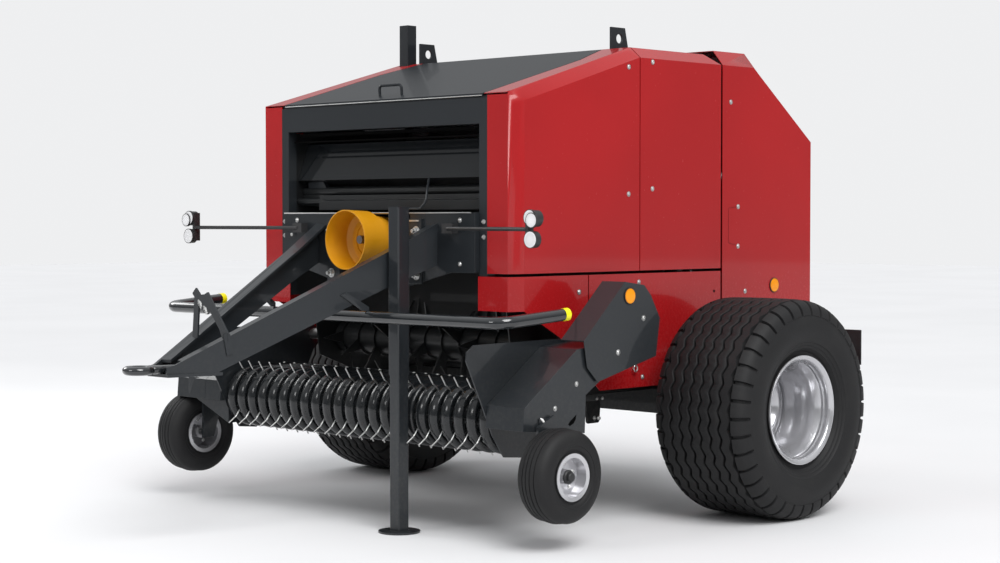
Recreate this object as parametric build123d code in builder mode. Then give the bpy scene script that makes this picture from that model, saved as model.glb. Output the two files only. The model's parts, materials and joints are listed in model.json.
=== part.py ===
"""Round baler: a towed machine that rolls cut hay or straw into a 1.2 m bale.

Frame of the model: +Z up, travel towards -Y, the machine's own left side is +X.
The origin is on the ground, midway along and across the whole machine.
Every length is in millimetres.
"""
import os
from math import asin, atan2, cos, degrees, hypot, radians, sin

from build123d import *

os.makedirs("parts", exist_ok=True)

SIDES = (("left", 1), ("right", -1))
SEAT = 0.3                      # clearance of pieces that rest on or run in each other

# ---- overall sizes -------------------------------------------------------------------
TIP_AHEAD = 2466.0              # towing eye's tip ahead of the axle
TAIL_BEHIND = 912.0             # rear lamp board behind the axle
AXLE_Y = (TIP_AHEAD - TAIL_BEHIND) / 2


def ahead(distance):
    """The place along Y that lies this far ahead of the axle."""
    return AXLE_Y - distance


def behind(distance):
    """The place along Y that lies this far behind the axle."""
    return AXLE_Y + distance


# ---- main wheels ---------------------------------------------------------------------
TYRE_R = 466.0
TYRE_WIDTH = 490.0
TRACK_HALF = 1143.0             # middle of a tyre from the middle of the machine
FLANGE_R = 232.0
BEAD_R = 214.0
RIM_WIDTH = 412.0
RIM_WALL = 7.0
DISC_INSET = 235.0              # wheel disc behind the rim's outer flange
HUB_R = 62.0
SPINDLE_R = 38.0
BEAM = 120.0                    # axle beam, square tube
BEAM_WALL = 10.0
BEAM_HALF = 850.0

# ---- body ----------------------------------------------------------------------------
BODY_HALF = 774.0               # outside of the side panels
SHEET = 3.0
RETURN = 22.0                   # folded edge of a panel
CREASE_FRONT = 755.0            # where the side meets the roof, at the front
CREASE_REAR = 719.0             # and from the ridge back
FRONT_Y = ahead(1166.0)
BEVEL_Y = ahead(1089.0)
RIDGE_Y = ahead(373.0)
SPLIT_Y = behind(193.0)         # tailgate joint
FRONT_TOP = 1775.0
BEVEL_TOP = 1741.0
RIDGE_TOP = 2001.0
SIDE_TOP = 1954.0
DOOR_BOTTOM = 1049.0
PANEL_TOP = 1037.0
PANEL_GAP = 6.0                 # open joint between two panels
STRIP_INNER = 641.0             # inner edge of the red front strips
HOOD_HALF = 618.0
HOOD_REAR_HALF = 556.0
HOOD_TAPER_Y = ahead(589.0)

# ---- bale chamber --------------------------------------------------------------------
CHAMBER_HALF = 600.0            # inside of the chamber walls
WALL = 6.0
CHAMBER_R = 600.0
CHAMBER_Y = behind(150.0)
CHAMBER_Z = 1280.0
SLAT_R = 19.0
SLAT_PITCH_DEG = 12.0
LOOP_GAP = 26.0                 # chamber radius to the middle of the slats

# ---- lower frame ---------------------------------------------------------------------
SILL = 80.0                     # square tube beside each chamber wall
SILL_Z = TYRE_R + BEAM / 2      # sills lie on the axle beam
POST = 45.0

# ---- tailgate ------------------------------------------------------------------------
GATE_GAP = 12.0
GATE_PIVOT_Y = behind(235.0)
GATE_PIVOT_Z = 1935.0
GATE_TOP = 2021.0
GATE_CREST_Y = behind(428.0)
GATE_REAR_Y = behind(875.0)
GATE_KNEE_Z = 1629.0
GATE_SKIRT_Z = 860.0
GATE_SOLE_Y = behind(560.0)
GATE_SOLE_Z = 640.0

# ---- drawbar -------------------------------------------------------------------------
KEEL_Z = 664.0                  # underside of the drawbar's nose
KEEL = 12.0
EYE_HOLE_R = 26.0
EYE_R = 62.0
EYE_THICK = 34.0
CHEEK = 12.0                    # drawbar side plates
CHEEK_NOSE = (60.0, ahead(2285.0))      # (x, y) of a side plate's nose
CROSS_Y = ahead(1190.0)         # front face of the cross plate
CROSS_LOW = 1050.0
CROSS_TOP = 1295.0
CROSS_HALF = CHAMBER_HALF - 4 - SEAT
PTO_Z = 1182.0
PTO_MOUTH_Y = ahead(1360.0)
PTO_STUB_R = 17.5

# ---- parking stand -------------------------------------------------------------------
STAND_Y = ahead(1389.0)
STAND_TUBE = 62.0
STAND_WALL = 3.0
STAND_TOP = 1318.0
STAND_LOW = 638.0
LEG_TUBE = STAND_TUBE - 2 * STAND_WALL - 2 * SEAT
LEG_TOP = 1000.0
FOOT_R = 85.0
TUBE_CORNER = 6.0

# ---- pick-up -------------------------------------------------------------------------
PIVOT_Y = ahead(831.0)
PIVOT_Z = 735.0
PIVOT_R = 25.0
REEL_Y = ahead(1215.0)
REEL_Z = 475.0
BAND_R = 137.0
BAND_COUNT = 23
BAND_PITCH = 72.1
BAND_WIDTH = 52.0
STAND_X = 5 * BAND_PITCH        # the leg stands in the space between two tines
TINE_BARS = 4
TINE_BAR_RING = 70.0
TINE_PHASE = 100.0
TINE_R = 3.0
CHEEK_X = 826.0                 # inner face of the pick-up's side plates
CHEEK_PLATE = 6.0
CASE_OUTER = 1034.0
GUARD_INNER = 925.0
GUARD_OUTER = 1046.0
ROTOR_R = 185.0

# ---- gauge wheels --------------------------------------------------------------------
GAUGE_R = 184.0
GAUGE_WIDTH = 150.0
GAUGE_X = 1137.0
GAUGE_Y = ahead(1276.0)
GAUGE_Z = 289.0


# ---- shared operations ---------------------------------------------------------------
def outline(plane, points):
    """A closed polygon drawn on a plane."""
    with BuildSketch(plane) as drawn:
        with BuildLine():
            Polyline(*points, close=True)
        make_face()
    return drawn.sketch


def plate(points, x, thickness, mode=Mode.ADD):
    """A fore-and-aft plate from (y, z) points, from x along +X."""
    extrude(outline(Plane.YZ.offset(x), points), amount=thickness, mode=mode)


def cross_plate(points, y, thickness, mode=Mode.ADD):
    """A plate across the machine from (x, z) points, from y towards the rear."""
    extrude(outline(Plane.XZ.offset(-y), points), amount=-thickness, mode=mode)


def floor_plate(points, z, thickness, mode=Mode.ADD):
    """A level plate from (x, y) points, from z upwards."""
    extrude(outline(Plane.XY.offset(z), points), amount=thickness, mode=mode)


def block(x, y, z, mode=Mode.ADD):
    """A block between pairs of x, y and z."""
    with Locations(((x[0] + x[1]) / 2, (y[0] + y[1]) / 2, (z[0] + z[1]) / 2)):
        Box(abs(x[1] - x[0]), abs(y[1] - y[0]), abs(z[1] - z[0]), mode=mode)


def round_x(y, z, radius, x0, x1, bore=0.0, mode=Mode.ADD):
    """A round bar or tube along X."""
    with BuildSketch(Plane.YZ.offset(x0)) as drawn:
        with Locations((y, z)):
            Circle(radius)
            if bore:
                Circle(bore, mode=Mode.SUBTRACT)
    extrude(drawn.sketch, amount=x1 - x0, mode=mode)


def round_y(x, z, radius, y0, y1, bore=0.0, mode=Mode.ADD):
    """A round bar or tube along Y."""
    with BuildSketch(Plane.XZ.offset(-y0)) as drawn:
        with Locations((x, z)):
            Circle(radius)
            if bore:
                Circle(bore, mode=Mode.SUBTRACT)
    extrude(drawn.sketch, amount=y0 - y1, mode=mode)


def between(start, end, radius, mode=Mode.ADD):
    """A round bar between two points in space."""
    a, b = Vector(*start), Vector(*end)
    with BuildSketch(Plane(origin=a, z_dir=b - a)) as drawn:
        Circle(radius)
    extrude(drawn.sketch, amount=(b - a).length, mode=mode)


def bent_bar(points, bend, radius, bore=0.0):
    """A round bar or tube bent along a path."""
    with BuildLine() as way:
        FilletPolyline(*points, radius=bend)
    with BuildSketch(Plane(origin=way.line @ 0, z_dir=way.line % 0)) as drawn:
        Circle(radius)
        if bore:
            Circle(bore, mode=Mode.SUBTRACT)
    sweep(drawn.sketch, path=way.line)


def sheet(a, b, c, d, thick=SHEET):
    """A flat or slightly twisted sheet. Its outer face is a, b, c, d, seen turning left."""
    a, b, c, d = (Vector(*p) for p in (a, b, c, d))
    inward = (c - a).cross(d - b).normalized() * -1
    sections = []
    for start, end in ((a, b), (d, c)):
        run = end - start
        plane = Plane(origin=start, x_dir=run, z_dir=run.cross(inward))
        with BuildSketch(plane) as drawn:
            Rectangle(run.length, thick, align=(Align.MIN, Align.MIN))
        sections.append(drawn.sketch)
    loft(sections, ruled=True)


def mirrored(points, side):
    """Points (x, y, z) carried to the machine's left (1) or right (-1) side."""
    return [(side * x, y, z) for x, y, z in points]


def side_sheet(a, b, c, d, side, thick=SHEET):
    """A sheet given for the left side, built on either side."""
    corners = mirrored((a, b, c, d), side)
    if side < 0:
        corners = [corners[1], corners[0], corners[3], corners[2]]
    sheet(*corners, thick=thick)


def save(part, name):
    """Names a finished piece and writes it."""
    part.label = name
    export_step(part, f"parts/{name}.step")


# ---- main wheels ---------------------------------------------------------------------
TYRE_SIDE = TYRE_WIDTH / 2
BEAD_X = RIM_WIDTH / 2 - 12
for name, side in SIDES:
    hub_x = side * TRACK_HALF
    with BuildPart() as tyre:
        with BuildSketch(Plane.XY) as section:
            with BuildLine():
                Polyline((-BEAD_X, BEAD_R + 1 + SEAT), (-BEAD_X, FLANGE_R + 16), (-TYRE_SIDE, 345),
                         (-TYRE_SIDE + 4, 405), (-TYRE_SIDE + 38, TYRE_R - 12),
                         (-TYRE_SIDE + 70, TYRE_R - 2), (0, TYRE_R),
                         (TYRE_SIDE - 70, TYRE_R - 2), (TYRE_SIDE - 38, TYRE_R - 12),
                         (TYRE_SIDE - 4, 405), (TYRE_SIDE, 345), (BEAD_X, FLANGE_R + 16),
                         (BEAD_X, BEAD_R + 1 + SEAT), (BEAD_X - 24, BEAD_R + 1 + SEAT),
                         (BEAD_X - 22, FLANGE_R + 20), (TYRE_SIDE - 26, 345),
                         (TYRE_SIDE - 40, TYRE_R - 50), (0, TYRE_R - 38),
                         (-TYRE_SIDE + 40, TYRE_R - 50), (-TYRE_SIDE + 26, 345),
                         (-BEAD_X + 22, FLANGE_R + 20), (-BEAD_X + 24, BEAD_R + 1 + SEAT), close=True)
            make_face()
        revolve(axis=Axis.X)
    save(tyre.part.moved(Location((hub_x, AXLE_Y, TYRE_R))), f"tyre_{name}")

    outer = RIM_WIDTH / 2
    disc_x = outer - DISC_INSET
    with BuildPart() as rim:
        with BuildSketch(Plane.XY):
            with BuildLine():
                Polyline((-outer, FLANGE_R), (-outer + 10, BEAD_R + 1), (-outer + 34, BEAD_R),
                         (-outer + 70, BEAD_R - 28), (outer - 100, BEAD_R - 28),
                         (outer - 40, BEAD_R), (outer - 10, BEAD_R + 1), (outer, FLANGE_R),
                         (outer + RIM_WALL, FLANGE_R), (outer - 3, BEAD_R - RIM_WALL),
                         (outer - 38, BEAD_R - RIM_WALL), (outer - 98, BEAD_R - 28 - RIM_WALL),
                         (-outer + 68, BEAD_R - 28 - RIM_WALL),
                         (-outer + 32, BEAD_R - RIM_WALL), (-outer + 3, BEAD_R - RIM_WALL),
                         (-outer - RIM_WALL, FLANGE_R), close=True)
            make_face()
        revolve(axis=Axis.X)
        with BuildSketch(Plane.XY):
            with BuildLine():
                Polyline((disc_x - 5, HUB_R + 30), (disc_x + 30, 120), (disc_x + 20, 172),
                         (disc_x - 4, BEAD_R - 28 - RIM_WALL + 2),
                         (disc_x - 14, BEAD_R - 28 - RIM_WALL + 2), (disc_x + 10, 168),
                         (disc_x + 20, 120), (disc_x - 15, HUB_R + 30), (disc_x - 15, 55),
                         (disc_x - 5, 55), close=True)
            make_face()
        revolve(axis=Axis.X)
        with BuildSketch(Plane.XY):
            with BuildLine():
                Polyline((disc_x - 12, SPINDLE_R + SEAT), (disc_x - 12, 95), (disc_x - 30, 95),
                         (disc_x - 30, HUB_R), (disc_x - 150, HUB_R - 6),
                         (disc_x - 150, SPINDLE_R + SEAT), close=True)
            make_face()
        revolve(axis=Axis.X)
        with BuildSketch(Plane.XY):
            with BuildLine():
                Polyline((disc_x - 12, 0), (disc_x - 12, 60), (disc_x + 40, 50),
                         (disc_x + 52, 38), (disc_x + 52, 0), close=True)
            make_face()
        revolve(axis=Axis.X)
    facing = Location((hub_x, AXLE_Y, TYRE_R), (0, 0, 0 if side > 0 else 180))
    save(rim.part.moved(facing), f"rim_{name}")

# ---- axle ----------------------------------------------------------------------------
SPINDLE_END = TRACK_HALF + RIM_WIDTH / 2 - DISC_INSET - 20
with BuildPart() as axle:
    half = BEAM / 2
    block((-BEAM_HALF, BEAM_HALF), (AXLE_Y - half, AXLE_Y + half), (TYRE_R - half, TYRE_R + half))
    inner = half - BEAM_WALL
    block((-BEAM_HALF + 10, BEAM_HALF - 10), (AXLE_Y - inner, AXLE_Y + inner),
          (TYRE_R - inner, TYRE_R + inner), mode=Mode.SUBTRACT)
    for side in (1, -1):
        round_x(AXLE_Y, TYRE_R, SPINDLE_R, side * (BEAM_HALF - 5), side * SPINDLE_END)
        round_x(AXLE_Y, TYRE_R, 52, side * BEAM_HALF, side * (BEAM_HALF + 45))
save(axle.part, "axle")

# ---- lower frame ---------------------------------------------------------------------
SILL_IN = CHAMBER_HALF + WALL
SILL_FRONT = ahead(640.0)
SILL_REAR = SPLIT_Y - GATE_GAP
CYL_FOOT = (ahead(330.0), 700.0)
CYL_X = 690.0
CYL_PIN = 15.0
CYL_R = 36.0
with BuildPart() as lower_frame:
    for y in (ahead(250.0), ahead(500.0)):
        block((-CHAMBER_HALF, CHAMBER_HALF), (y, y + 60), (SILL_Z, SILL_Z + 60))
    for side in (1, -1):
        x = (side * SILL_IN, side * (SILL_IN + SILL))
        block(x, (SILL_FRONT, SILL_REAR), (SILL_Z, SILL_Z + SILL))
        bore = (side * (SILL_IN + 5), side * (SILL_IN + SILL - 5))
        block(bore, (SILL_FRONT - 1, SILL_REAR + 1), (SILL_Z + 5, SILL_Z + SILL - 5),
              mode=Mode.SUBTRACT)
        for y in (ahead(560.0), behind(80.0)):
            block((side * (SILL_IN + SILL), side * (BODY_HALF - SHEET - SEAT)), (y, y + 40),
                  (SILL_Z + 40, SILL_Z + 70))
        block((side * SILL_IN, side * (CYL_X - CYL_R - 6)), (CYL_FOOT[0] - 40, CYL_FOOT[0] + 40),
              (SILL_Z + SILL, CYL_FOOT[1] + 30))
        round_x(CYL_FOOT[0], CYL_FOOT[1], CYL_PIN, side * (CYL_X - CYL_R - 8), side * (CYL_X + 34))
save(lower_frame.part, "lower_frame")

# ---- chamber side walls --------------------------------------------------------------
ROOF_SLOPE = (RIDGE_TOP - FRONT_TOP) / (RIDGE_Y - FRONT_Y)
ROOF_SEAT = SHEET * hypot(1, ROOF_SLOPE) + SEAT     # what carries the sloping sheets
BEAM_LOW = 1653.0


def roof_at(y):
    """Height of the roof over a place along Y."""
    return min(RIDGE_TOP, FRONT_TOP + (y - FRONT_Y) * ROOF_SLOPE)


WALL_FRONT = FRONT_Y + 2 * SHEET + SEAT
WALL_DROP = 14.0
for name, side in SIDES:
    x = side * CHAMBER_HALF
    with BuildPart() as wall:
        plate(((WALL_FRONT, 930), (WALL_FRONT, BEAM_LOW - 4), (FRONT_Y + 96, BEAM_LOW - 4),
               (FRONT_Y + 96, roof_at(FRONT_Y + 96) - 60), (RIDGE_Y, RIDGE_TOP - WALL_DROP - 50), (ahead(60.0), RIDGE_TOP - WALL_DROP - 50),
               (SPLIT_Y - GATE_GAP, GATE_PIVOT_Z - 60), (SPLIT_Y - GATE_GAP, SILL_Z),
               (SILL_FRONT, SILL_Z), (PIVOT_Y - 150, PIVOT_Z - 80), (PIVOT_Y - 190, 930)),
              x, side * WALL)
        round_x(PIVOT_Y, PIVOT_Z, 22 + SEAT, x - side, x + side * (WALL + 1), mode=Mode.SUBTRACT)
        plate(((GATE_PIVOT_Y - 95, GATE_PIVOT_Z - 110), (GATE_PIVOT_Y - 95, GATE_PIVOT_Z - 10),
               (GATE_PIVOT_Y - 30, GATE_PIVOT_Z + 34), (GATE_PIVOT_Y + 26, GATE_PIVOT_Z + 26),
               (GATE_PIVOT_Y + 34, GATE_PIVOT_Z - 30), (GATE_PIVOT_Y - 50, GATE_PIVOT_Z - 90)),
              x + side * WALL, side * 12)
        round_x(GATE_PIVOT_Y, GATE_PIVOT_Z, 18, x + side * WALL, x + side * 60)
    save(wall.part, f"chamber_wall_{name}")

# ---- front frame ---------------------------------------------------------------------
POST_LOW = PANEL_TOP + 3
with BuildPart() as front_frame:
    plate(((FRONT_Y, BEAM_LOW), (FRONT_Y, FRONT_TOP - 18), (FRONT_Y + 8, FRONT_TOP - 18),
           (FRONT_Y + 8, FRONT_TOP - 8), (FRONT_Y + 90, roof_at(FRONT_Y + 90) - 11),
           (FRONT_Y + 90, roof_at(FRONT_Y + 90) - 15), (FRONT_Y + 12, FRONT_TOP - 13),
           (FRONT_Y + 12, FRONT_TOP - 22), (FRONT_Y + 5, FRONT_TOP - 22), (FRONT_Y + 5, BEAM_LOW + 5),
           (FRONT_Y + 70, BEAM_LOW + 5), (FRONT_Y + 70, BEAM_LOW)), -STRIP_INNER, 2 * STRIP_INNER)
    for side in (1, -1):
        outer, flange = side * STRIP_INNER, side * CHAMBER_HALF
        block((flange - side * 4, outer), (FRONT_Y, FRONT_Y + 3), (POST_LOW, BEAM_LOW + 20))
        block((flange - side * 4, flange), (FRONT_Y, FRONT_Y + POST), (POST_LOW, BEAM_LOW + 1))
        block((outer - side * 3, outer), (FRONT_Y, FRONT_Y + POST), (POST_LOW, BEAM_LOW + 1))
        low_y = FRONT_Y + SHEET + SEAT
        block((flange - side * 4, outer), (low_y, low_y + 3), (930, POST_LOW + 5))
        block((flange - side * 4, flange), (low_y, FRONT_Y + POST), (930, POST_LOW + 5))
        block((outer - side * 3, outer), (low_y, FRONT_Y + POST), (930, POST_LOW + 5))
        ends = (FRONT_Y + 16, FRONT_Y + POST)
        plate(((ends[0], FRONT_TOP - 80), (ends[0], roof_at(ends[0]) - ROOF_SEAT),
               (ends[1], roof_at(ends[1]) - ROOF_SEAT), (ends[1], FRONT_TOP - 80)),
              side * (HOOD_HALF + 9), side * (STRIP_INNER - HOOD_HALF - 9))
save(front_frame.part, "front_frame")

# ---- roof ----------------------------------------------------------------------------
EYE_X = 591.0
EYE_Y = ahead(301.0)
ROOF_REAR = behind(128.0)
POST_X = 664.0
HINGE_R = 4.5                   # rods that the lids and doors swing on
HINGE_CLEAR = 0.4
PAD = 18.0
with BuildPart() as roof_frame:
    low = RIDGE_TOP - WALL_DROP - 50 + SEAT
    top = RIDGE_TOP - 26
    block((-SILL_IN, SILL_IN), (EYE_Y - 30, EYE_Y + 30), (low, top))
    for side in (1, -1):
        plate(((EYE_Y - 60, top - 10), (EYE_Y - 60, 2097), (EYE_Y + 32, 2097),
               (EYE_Y + 55, RIDGE_TOP), (EYE_Y + 30, top - 10)), side * EYE_X, side * 10)
        round_x(EYE_Y - 5, 2049, 20, side * (EYE_X - 1), side * (EYE_X + 11), mode=Mode.SUBTRACT)
        for x in (HOOD_REAR_HALF - 6 - PAD, HOOD_REAR_HALF + 8):
            block((side * x, side * (x + PAD)), (EYE_Y - 20, EYE_Y + 20),
                  (top - 1, RIDGE_TOP - SHEET - SEAT))
    block((-POST_X - 28, -POST_X + 28), (RIDGE_Y - 28, RIDGE_Y + 28), (1850, 2185))
    block((-POST_X - 24, -POST_X + 24), (RIDGE_Y - 24, RIDGE_Y + 24), (1845, 2186),
          mode=Mode.SUBTRACT)
    block((-POST_X + 28, -SILL_IN), (RIDGE_Y - 25, RIDGE_Y + 25), (1860, 1930))
save(roof_frame.part, "roof_frame")


def roof_point(x, y):
    """A point on the sloping roof."""
    return (x, y, roof_at(y))


def crease(y):
    """The point of the left crease at a place along Y."""
    share = min(1.0, (y - FRONT_Y) / (RIDGE_Y - FRONT_Y))
    return Vector(CREASE_FRONT + share * (CREASE_REAR - CREASE_FRONT), y, roof_at(y))


def hinge_point(y, side):
    """A point on the rod that a door swings on, just inside its crease."""
    point = crease(y)
    return (side * (point.X - HINGE_R), y, point.Z - HINGE_R * hypot(1, ROOF_SLOPE)
            if y < RIDGE_Y else point.Z - HINGE_R)


HINGE_SETBACK = 14.0
DOOR_JOINT = PANEL_GAP / 2
for name, side in SIDES:
    with BuildPart() as strip:
        edge = HINGE_R
        front = FRONT_Y
        inner, rear_inner = HOOD_HALF + PANEL_GAP, HOOD_REAR_HALF + PANEL_GAP
        taper = crease(HOOD_TAPER_Y).X - edge
        side_sheet(roof_point(inner, front), roof_point(CREASE_FRONT - edge, front),
                   roof_point(taper, HOOD_TAPER_Y), roof_point(inner, HOOD_TAPER_Y), side)
        side_sheet(roof_point(inner, HOOD_TAPER_Y), roof_point(taper, HOOD_TAPER_Y),
                   roof_point(CREASE_REAR - edge, RIDGE_Y), roof_point(rear_inner, RIDGE_Y), side)
        side_sheet(roof_point(rear_inner, RIDGE_Y), roof_point(CREASE_REAR - edge, RIDGE_Y),
                   roof_point(CREASE_REAR - edge, ROOF_REAR), roof_point(rear_inner, ROOF_REAR), side)
        between(hinge_point(FRONT_Y + HINGE_SETBACK, side), hinge_point(RIDGE_Y - 8, side), HINGE_R)
        between(hinge_point(RIDGE_Y + 8, side), hinge_point(ROOF_REAR, side), HINGE_R)
        block((side * (EYE_X - 6), side * (EYE_X + 16)), (EYE_Y - 72, EYE_Y + 66), (1960, 2010),
              mode=Mode.SUBTRACT)
        if side < 0:
            block((-POST_X - 34, -POST_X + 34), (RIDGE_Y - 34, RIDGE_Y + 34), (1950, 2010),
                  mode=Mode.SUBTRACT)
    save(strip.part, f"roof_strip_{name}")

LID_HINGE = (RIDGE_Y + HINGE_R, RIDGE_TOP - HINGE_R)
with BuildPart() as roof_panel:
    half = HOOD_REAR_HALF
    floor_plate(((-half, LID_HINGE[0]), (half, LID_HINGE[0]), (half, ROOF_REAR),
                 (-half, ROOF_REAR)), RIDGE_TOP - SHEET, SHEET)
    round_x(LID_HINGE[0], LID_HINGE[1], HINGE_R, -half + 4, half - 4)
    for side in (1, -1):
        block((side * (half - SHEET), side * half), (LID_HINGE[0] + 12, ROOF_REAR),
              (RIDGE_TOP - RETURN, RIDGE_TOP - 1))
    block((-half, half), (ROOF_REAR - SHEET, ROOF_REAR), (RIDGE_TOP - RETURN, RIDGE_TOP - 1))
save(roof_panel.part, "roof_panel")

# ---- hood: the lid over the net store -------------------------------------------------
LIP_Y = FRONT_Y - 3
HANDLE_Y = FRONT_Y + 66
HANDLE_X = (-66, 71)
with BuildPart() as hood:
    rear = LID_HINGE[0] - HINGE_R - 1
    sheet(roof_point(-HOOD_HALF, LIP_Y), roof_point(HOOD_HALF, LIP_Y),
          roof_point(HOOD_HALF, HOOD_TAPER_Y), roof_point(-HOOD_HALF, HOOD_TAPER_Y))
    sheet(roof_point(-HOOD_HALF, HOOD_TAPER_Y), roof_point(HOOD_HALF, HOOD_TAPER_Y),
          roof_point(HOOD_REAR_HALF, rear), roof_point(-HOOD_REAR_HALF, rear))
    block((-HOOD_HALF, HOOD_HALF), (LIP_Y, LIP_Y + SHEET), (FRONT_TOP - 12, FRONT_TOP - 2))
    round_x(LID_HINGE[0], LID_HINGE[1], HINGE_R + HINGE_CLEAR, -HOOD_HALF, HOOD_HALF,
            mode=Mode.SUBTRACT)
    foot = roof_at(HANDLE_Y) - 2
    bent_bar([(HANDLE_X[0], HANDLE_Y, foot), (HANDLE_X[0], HANDLE_Y - 4, foot + 46),
              (HANDLE_X[1], HANDLE_Y - 4, foot + 46), (HANDLE_X[1], HANDLE_Y, foot)], 16, 6)
save(hood.part, "hood")

# ---- upper side doors ----------------------------------------------------------------
CREASE_CUT = 1.5                # the doors' chamfers start this far off the crease
for name, side in SIDES:
    crease_front = (CREASE_FRONT + CREASE_CUT, FRONT_Y, FRONT_TOP - CREASE_CUT)
    crease_ridge = (CREASE_REAR + CREASE_CUT, RIDGE_Y - DOOR_JOINT, RIDGE_TOP - CREASE_CUT)
    bevel_top = (BODY_HALF, BEVEL_Y, BEVEL_TOP)
    ridge_side = (BODY_HALF, RIDGE_Y - DOOR_JOINT, SIDE_TOP)
    with BuildPart() as front_door:
        low = DOOR_BOTTOM
        strip_top = FRONT_TOP - 9
        side_sheet((STRIP_INNER + SEAT, FRONT_Y, low), (CREASE_FRONT, FRONT_Y, low),
                   (CREASE_FRONT, FRONT_Y, strip_top), (STRIP_INNER + SEAT, FRONT_Y, strip_top),
                   side)
        side_sheet((CREASE_FRONT, FRONT_Y, low), (BODY_HALF, BEVEL_Y, low), bevel_top,
                   crease_front, side)
        side_sheet((BODY_HALF, BEVEL_Y, low), (BODY_HALF, RIDGE_Y - DOOR_JOINT, low), ridge_side,
                   bevel_top, side)
        side_sheet(bevel_top, ridge_side, crease_ridge, crease_front, side)
        inner = side * (BODY_HALF - RETURN)
        skin = side * (BODY_HALF - 1)
        block((inner, skin), (BEVEL_Y + 2, RIDGE_Y - DOOR_JOINT), (low, low + SHEET))
        block((inner, skin), (RIDGE_Y - DOOR_JOINT - SHEET, RIDGE_Y - DOOR_JOINT), (low, SIDE_TOP))
        between(hinge_point(FRONT_Y - 5, side), hinge_point(RIDGE_Y - 0.01, side),
                HINGE_R + HINGE_CLEAR, mode=Mode.SUBTRACT)
    save(front_door.part, f"front_door_{name}")

    rear_y = SPLIT_Y - PANEL_GAP
    with BuildPart() as rear_door:
        first = RIDGE_Y + DOOR_JOINT
        side_sheet((BODY_HALF, first, low), (BODY_HALF, rear_y, low), (BODY_HALF, rear_y, SIDE_TOP),
                   (BODY_HALF, first, SIDE_TOP), side)
        side_sheet((BODY_HALF, first, SIDE_TOP), (BODY_HALF, rear_y, SIDE_TOP),
                   (CREASE_REAR + CREASE_CUT, ROOF_REAR, RIDGE_TOP - CREASE_CUT),
                   (CREASE_REAR + CREASE_CUT, first, RIDGE_TOP - CREASE_CUT), side)
        block((inner, skin), (first, rear_y), (low, low + SHEET))
        block((inner, skin), (first, first + SHEET), (low, SIDE_TOP))
        block((inner, skin), (rear_y - SHEET, rear_y), (low, SIDE_TOP - 62))
        between(hinge_point(RIDGE_Y, side), hinge_point(ROOF_REAR + 5, side),
                HINGE_R + HINGE_CLEAR, mode=Mode.SUBTRACT)
    save(rear_door.part, f"rear_door_{name}")

# ---- lower side panels ---------------------------------------------------------------
FRONT_SKIRT = 898.0
STANDOFF = (ahead(673.0), 867.0)
STANDOFF_R = 16.0
for name, side in SIDES:
    x = BODY_HALF
    with BuildPart() as lower_panel:
        top = PANEL_TOP
        split = ahead(702.0)
        side_sheet((589, FRONT_Y, FRONT_SKIRT), (CREASE_FRONT, FRONT_Y, FRONT_SKIRT),
                   (CREASE_FRONT, FRONT_Y, top), (589, FRONT_Y, top), side)
        side_sheet((CREASE_FRONT, FRONT_Y, FRONT_SKIRT), (x, BEVEL_Y, FRONT_SKIRT),
                   (x, BEVEL_Y, top), (CREASE_FRONT, FRONT_Y, top), side)
        plate(((BEVEL_Y, FRONT_SKIRT), (BEVEL_Y, top), (split - 3, top),
               (split - 3, 622), (ahead(867.0), 779)), side * (x - SHEET), side * SHEET)
        plate(((split + 3, 616), (split + 3, top), (SPLIT_Y - PANEL_GAP, top),
               (SPLIT_Y - PANEL_GAP, 552), (ahead(629.0), 552)), side * (x - SHEET), side * SHEET)
        inner, skin = side * (x - RETURN), side * (x - 1)
        block((inner, skin), (BEVEL_Y + 4, split - 3), (top - SHEET, top))
        block((inner, skin), (split + 3, SPLIT_Y - PANEL_GAP), (top - SHEET, top))
        round_x(PIVOT_Y, PIVOT_Z, 45, side * (x - RETURN - 1), side * (x + 1), mode=Mode.SUBTRACT)
        if side > 0:
            round_x(*STANDOFF, STANDOFF_R + 2, x - SHEET - 1, x + 1, mode=Mode.SUBTRACT)
    save(lower_panel.part, f"lower_panel_{name}")

# ---- tailgate ------------------------------------------------------------------------
GATE_FRONT = SPLIT_Y + GATE_GAP - PANEL_GAP
with BuildPart() as gate_shell:
    crest_in = (CREASE_REAR, GATE_CREST_Y, GATE_TOP)
    crest_out = (BODY_HALF, GATE_CREST_Y, SIDE_TOP)
    knee = (BODY_HALF, GATE_REAR_Y, GATE_KNEE_Z)
    for side in (1, -1):
        plate(((GATE_FRONT, GATE_SOLE_Z), (GATE_FRONT, SIDE_TOP), (GATE_CREST_Y, SIDE_TOP),
               (GATE_REAR_Y, GATE_KNEE_Z), (GATE_REAR_Y, GATE_SKIRT_Z),
               (GATE_SOLE_Y, GATE_SOLE_Z)), side * (BODY_HALF - SHEET), side * SHEET)
        side_sheet((BODY_HALF, GATE_FRONT, SIDE_TOP), crest_out, crest_in,
                   (CREASE_REAR, GATE_FRONT, GATE_TOP), side)
        side_sheet(crest_out, knee, (CREASE_REAR, GATE_REAR_Y, GATE_KNEE_Z + 20), crest_in, side)
    sheet((-CREASE_REAR, GATE_FRONT, GATE_TOP), (CREASE_REAR, GATE_FRONT, GATE_TOP),
          crest_in, (-CREASE_REAR, GATE_CREST_Y, GATE_TOP))
    sheet((-CREASE_REAR, GATE_CREST_Y, GATE_TOP), crest_in,
          (CREASE_REAR, GATE_REAR_Y, GATE_KNEE_Z + 20), (-CREASE_REAR, GATE_REAR_Y, GATE_KNEE_Z + 20))
    sheet((-BODY_HALF, GATE_REAR_Y, GATE_KNEE_Z), (BODY_HALF, GATE_REAR_Y, GATE_KNEE_Z),
          (BODY_HALF, GATE_REAR_Y, GATE_SKIRT_Z), (-BODY_HALF, GATE_REAR_Y, GATE_SKIRT_Z))
save(gate_shell.part, "tailgate_shell")

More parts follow.
